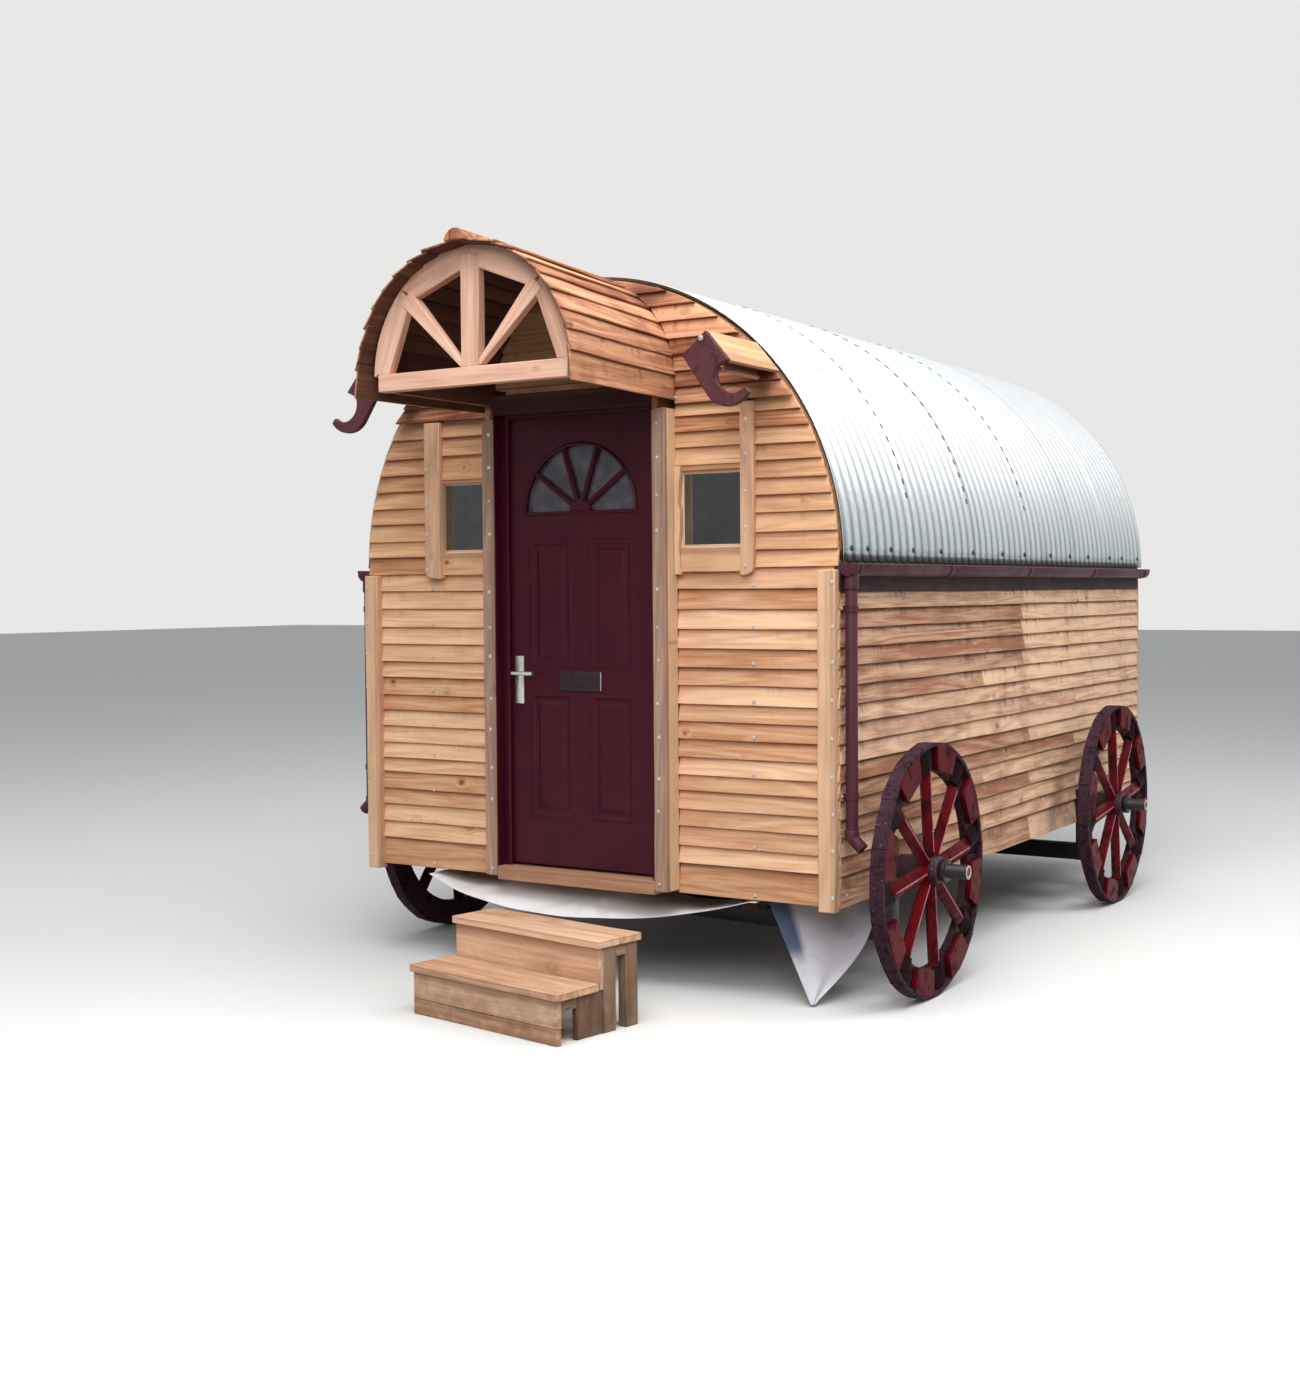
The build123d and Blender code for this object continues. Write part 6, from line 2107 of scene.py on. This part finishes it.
@dataclass
class LooseSheets:
    """The white sheet that sags under the front and the membrane that hangs from the right-hand corner."""

    shop: Workshop
    sheet_size: Point = (1.735, 0.375)
    sheet_gauge: float = 0.0015
    membrane_length: float = 0.45
    membrane_gauge: float = 0.0012

    def build(self) -> None:
        """Make both sheets."""
        self.sagging()
        self.hanging()

    def cloth(
        self, cells: tuple[int, int], shape: Callable[[float, float], Vector], size: Point, gauge: float
    ) -> Mesh:
        """Shape a grid into a sheet with a little thickness.

        Args:
            cells: How many steps it has across and down.
            shape: Gives the place of a point from its two shares of the sheet.
            size: Its flat width and length, for the weave.
            gauge: Its thickness.

        Returns:
            The closed mesh.
        """
        mesh = bmesh.new()
        bmesh.ops.create_grid(mesh, x_segments=cells[0], y_segments=cells[1], size=0.5, calc_uvs=True)
        weave = mesh.loops.layers.uv.new("weave")
        for face in mesh.faces:
            for loop in face.loops:
                loop[weave].uv = ((loop.vert.co.x + 0.5) * size[0], (loop.vert.co.y + 0.5) * size[1])
        for vert in mesh.verts:
            vert.co = shape(vert.co.x + 0.5, vert.co.y + 0.5)
        bmesh.ops.remove_doubles(mesh, verts=mesh.verts, dist=MERGED)
        bmesh.ops.recalc_face_normals(mesh, faces=mesh.faces)
        bmesh.ops.solidify(mesh, geom=mesh.faces[:], thickness=gauge)
        bmesh.ops.recalc_face_normals(mesh, faces=mesh.faces)
        return mesh

    def sagging(self) -> None:
        """Hang the white sheet from under both sides of the front."""

        def shape(u: float, v: float) -> Vector:
            """Place one point: a shallow curve with soft waves.

            Args:
                u: Its share of the way across.
                v: Its share of the way back.

            Returns:
                Its place.
            """
            x = -0.85 + 1.70 * u
            spread = (x + 0.04) / 0.86
            drop = 0.128 * max(0.0, 1 - spread * spread)
            forward = 0.075 * max(0.0, 1 - spread * spread) * (1 - spread)
            y = FRONT - 0.028 - forward + 0.362 * v + 0.01 * noise.noise(Vector((x * 3, 0, 7)))
            lean = 0.85 * min(1.0, max(0.0, (x + 0.75) / 0.35)) * min(1.0, max(0.0, (0.55 - x) / 0.45))
            wave = 0.008 * noise.noise(Vector((x * 4.0, v * 2.0, 3.0))) * min(1.0, drop * 20)
            return Vector((x, y, 0.4165 - drop * (1 - lean * (1 - (1 - v) ** 3)) + wave))

        mesh = self.cloth((60, 12), shape, self.sheet_size, self.sheet_gauge)
        options = {"replaces": "underfloor_sheet", "smooth": 60}
        item = self.shop.piece("underfloor_sheet_cloth", mesh, "sheet", Slot.WHITE, **options)

    def hanging(self) -> None:
        """Hang the grey membrane as a pointed fall, with a bluish fold beside it."""
        left, right = Vector((0.862, FRONT + 0.06, 0.4185)), Vector((1.163, FRONT + 0.466, 0.4185))
        tip, edge = Vector((1.085, FRONT + 0.03, 0.012)), right - left
        normal = edge.cross(tip - left)
        outward = normal.normalized()

        def shape(u: float, v: float) -> Vector:
            """Place one point: a triangle that narrows to its tip, with folds down it.

            Args:
                u: Its share of the way along the upper edge.
                v: Its share of the way down.

            Returns:
                Its place.
            """
            point = left.lerp(right, u).lerp(tip + edge * ((u - 0.5) * 0.03), v)
            point += edge * (0.17 * u * math.sin(math.pi * min(1.0, v * 1.02)))
            fold = 0.009 * math.sin(u * 9.0 + v * 2.0) * v * (1 - v * 0.6)
            wander = 0.01 * noise.noise(Vector((u * 3.0, v * 3.0, 5.0)))
            return point + outward * (fold + wander * v)

        size = (edge.length, self.membrane_length)
        mesh = self.cloth((24, 24), shape, size, self.membrane_gauge)
        options = {"replaces": "loose_membrane", "smooth": 80}
        item = self.shop.piece("loose_membrane_cloth", mesh, "membrane", Slot.WHITE, **options)


# The setting


@dataclass
class Setting:
    """The pale floor, the soft light and the camera."""

    lens_pixels: float = 1731.26
    frame_width: int = 1300
    frame_height: int = 1390
    principal: Point = (650.0, 650.0)
    stand: tuple[float, float, float] = (4.2324, -7.7773, 1.7006)
    yaw: float = -0.5589
    pitch: float = -0.0346
    roll: float = -0.0074
    sensor: float = 36.0

    def build(self) -> None:
        """Make the setting."""
        self.floor()
        self.world()
        self.lamps()
        self.camera()

    def floor(self) -> None:
        """Lay the floor."""
        material, s, place = new_finish("pale_floor")
        speck = s.reckon("MULTIPLY", s.noise(place, 40.0, 3.0), 0.04)
        tone = s.mix(speck, tint(226, 226, 224), tint(190, 190, 188))
        shader = material.node_tree.nodes["Principled BSDF"]
        s.feed(shader, {"Base Color": s.mix(self.seen(s), tint(120, 116, 110), tone)})
        shader.inputs["Roughness"].default_value = 0.9
        mesh = bmesh.new()
        bmesh.ops.create_grid(mesh, x_segments=1, y_segments=1, size=60)
        data = bpy.data.meshes.new("studio_floor")
        mesh.to_mesh(data)
        mesh.free()
        data.materials.append(material)
        item = bpy.data.objects.new("studio_floor", data)
        bpy.context.scene.collection.objects.link(item)

    def seen(self, s: Shading) -> Socket:
        """Return 1 where the camera, gloss or glass looks, and 0 for the light on the hut.

        Args:
            s: The nodes that it joins.

        Returns:
            The mask.
        """
        path = s.add("LightPath").outputs
        either = s.reckon("MAXIMUM", path["Is Camera Ray"], path["Is Glossy Ray"])
        return s.reckon("MAXIMUM", either, path["Is Transmission Ray"])

    def world(self) -> None:
        """Set an even sky, with a pale background where the camera, gloss or glass sees it."""
        world = bpy.data.worlds.new("studio")
        world.use_nodes = True
        bpy.context.scene.world = world
        s = Shading(world.node_tree)
        background = world.node_tree.nodes["Background"]
        seen = self.seen(s)
        s.feed(background, {"Color": s.mix(seen, tint(236, 240, 246), tint(232, 232, 230))})
        s.feed(background, {"Strength": s.reckon("ADD", s.reckon("MULTIPLY", seen, 0.55), 0.45)})

    def lamps(self) -> None:
        """Hang a wide soft lamp above, as under a cloudy sky, and two weaker ones in front and beside."""
        for name, spot, aim, size, power in (
            ("sky", (1.8, -4.2, 9.0), (0.4, -0.6, 1.0), 8.0, 780.0),
            ("front", (4.0, -9.5, 6.0), (0.0, -1.0, 1.4), 5.0, 290.0),
            ("side", (7.5, 1.0, 8.5), (0.5, 0.5, 1.2), 5.0, 380.0),
        ):
            lamp = bpy.data.lights.new(name, "AREA")
            lamp.shape = "DISK"
            lamp.size = size
            lamp.energy = power
            item = bpy.data.objects.new(name, lamp)
            item.location = spot
            item.rotation_euler = (Vector(aim) - Vector(spot)).to_track_quat("-Z", "Y").to_euler()
            bpy.context.scene.collection.objects.link(item)

    def camera(self) -> None:
        """Set the camera where the photograph was taken from."""
        level = math.cos(self.pitch)
        ahead = Vector((math.sin(self.yaw) * level, math.cos(self.yaw) * level, math.sin(self.pitch)))
        flat_right = ahead.cross(Vector((0, 0, 1))).normalized()
        flat_up = flat_right.cross(ahead)
        right = math.cos(self.roll) * flat_right + math.sin(self.roll) * flat_up
        up = -math.sin(self.roll) * flat_right + math.cos(self.roll) * flat_up
        data = bpy.data.cameras.new("camera")
        long_side = max(self.frame_width, self.frame_height)
        data.sensor_width = self.sensor
        data.lens = self.lens_pixels / long_side * self.sensor
        data.shift_x = (self.frame_width / 2 - self.principal[0]) / long_side
        data.shift_y = (self.principal[1] - self.frame_height / 2) / long_side
        item = bpy.data.objects.new("camera", data)
        axes = Matrix((right, up, -ahead)).transposed().to_4x4()
        item.matrix_world = Matrix.Translation(self.stand) @ axes
        bpy.context.scene.collection.objects.link(item)
        bpy.context.scene.camera = item
        bpy.context.scene.view_settings.view_transform = "Standard"


def main() -> None:
    """Build the hut's looks in order."""
    logging.basicConfig(level=logging.INFO, format="%(name)s: %(message)s")
    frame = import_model()
    noise.seed_set(NOISE_SEED)
    patterns = Patterns()
    shop = Workshop({key: kind.build(patterns) for key, kind in FINISHES.items()}, frame)
    Setting().build()
    for part in (Walls, Hood, Roof, Rainwater, Hooks, Fixings, Door, Windows, Chassis, Stair, LooseSheets):
        part(shop).build()
        LOG.info("%s: done", part.__name__)
    for details in WHEELS:
        Wheel(shop, *details).build()
    LOG.info("%d pieces", len(shop.made))


if __name__ == "__main__":
    main()
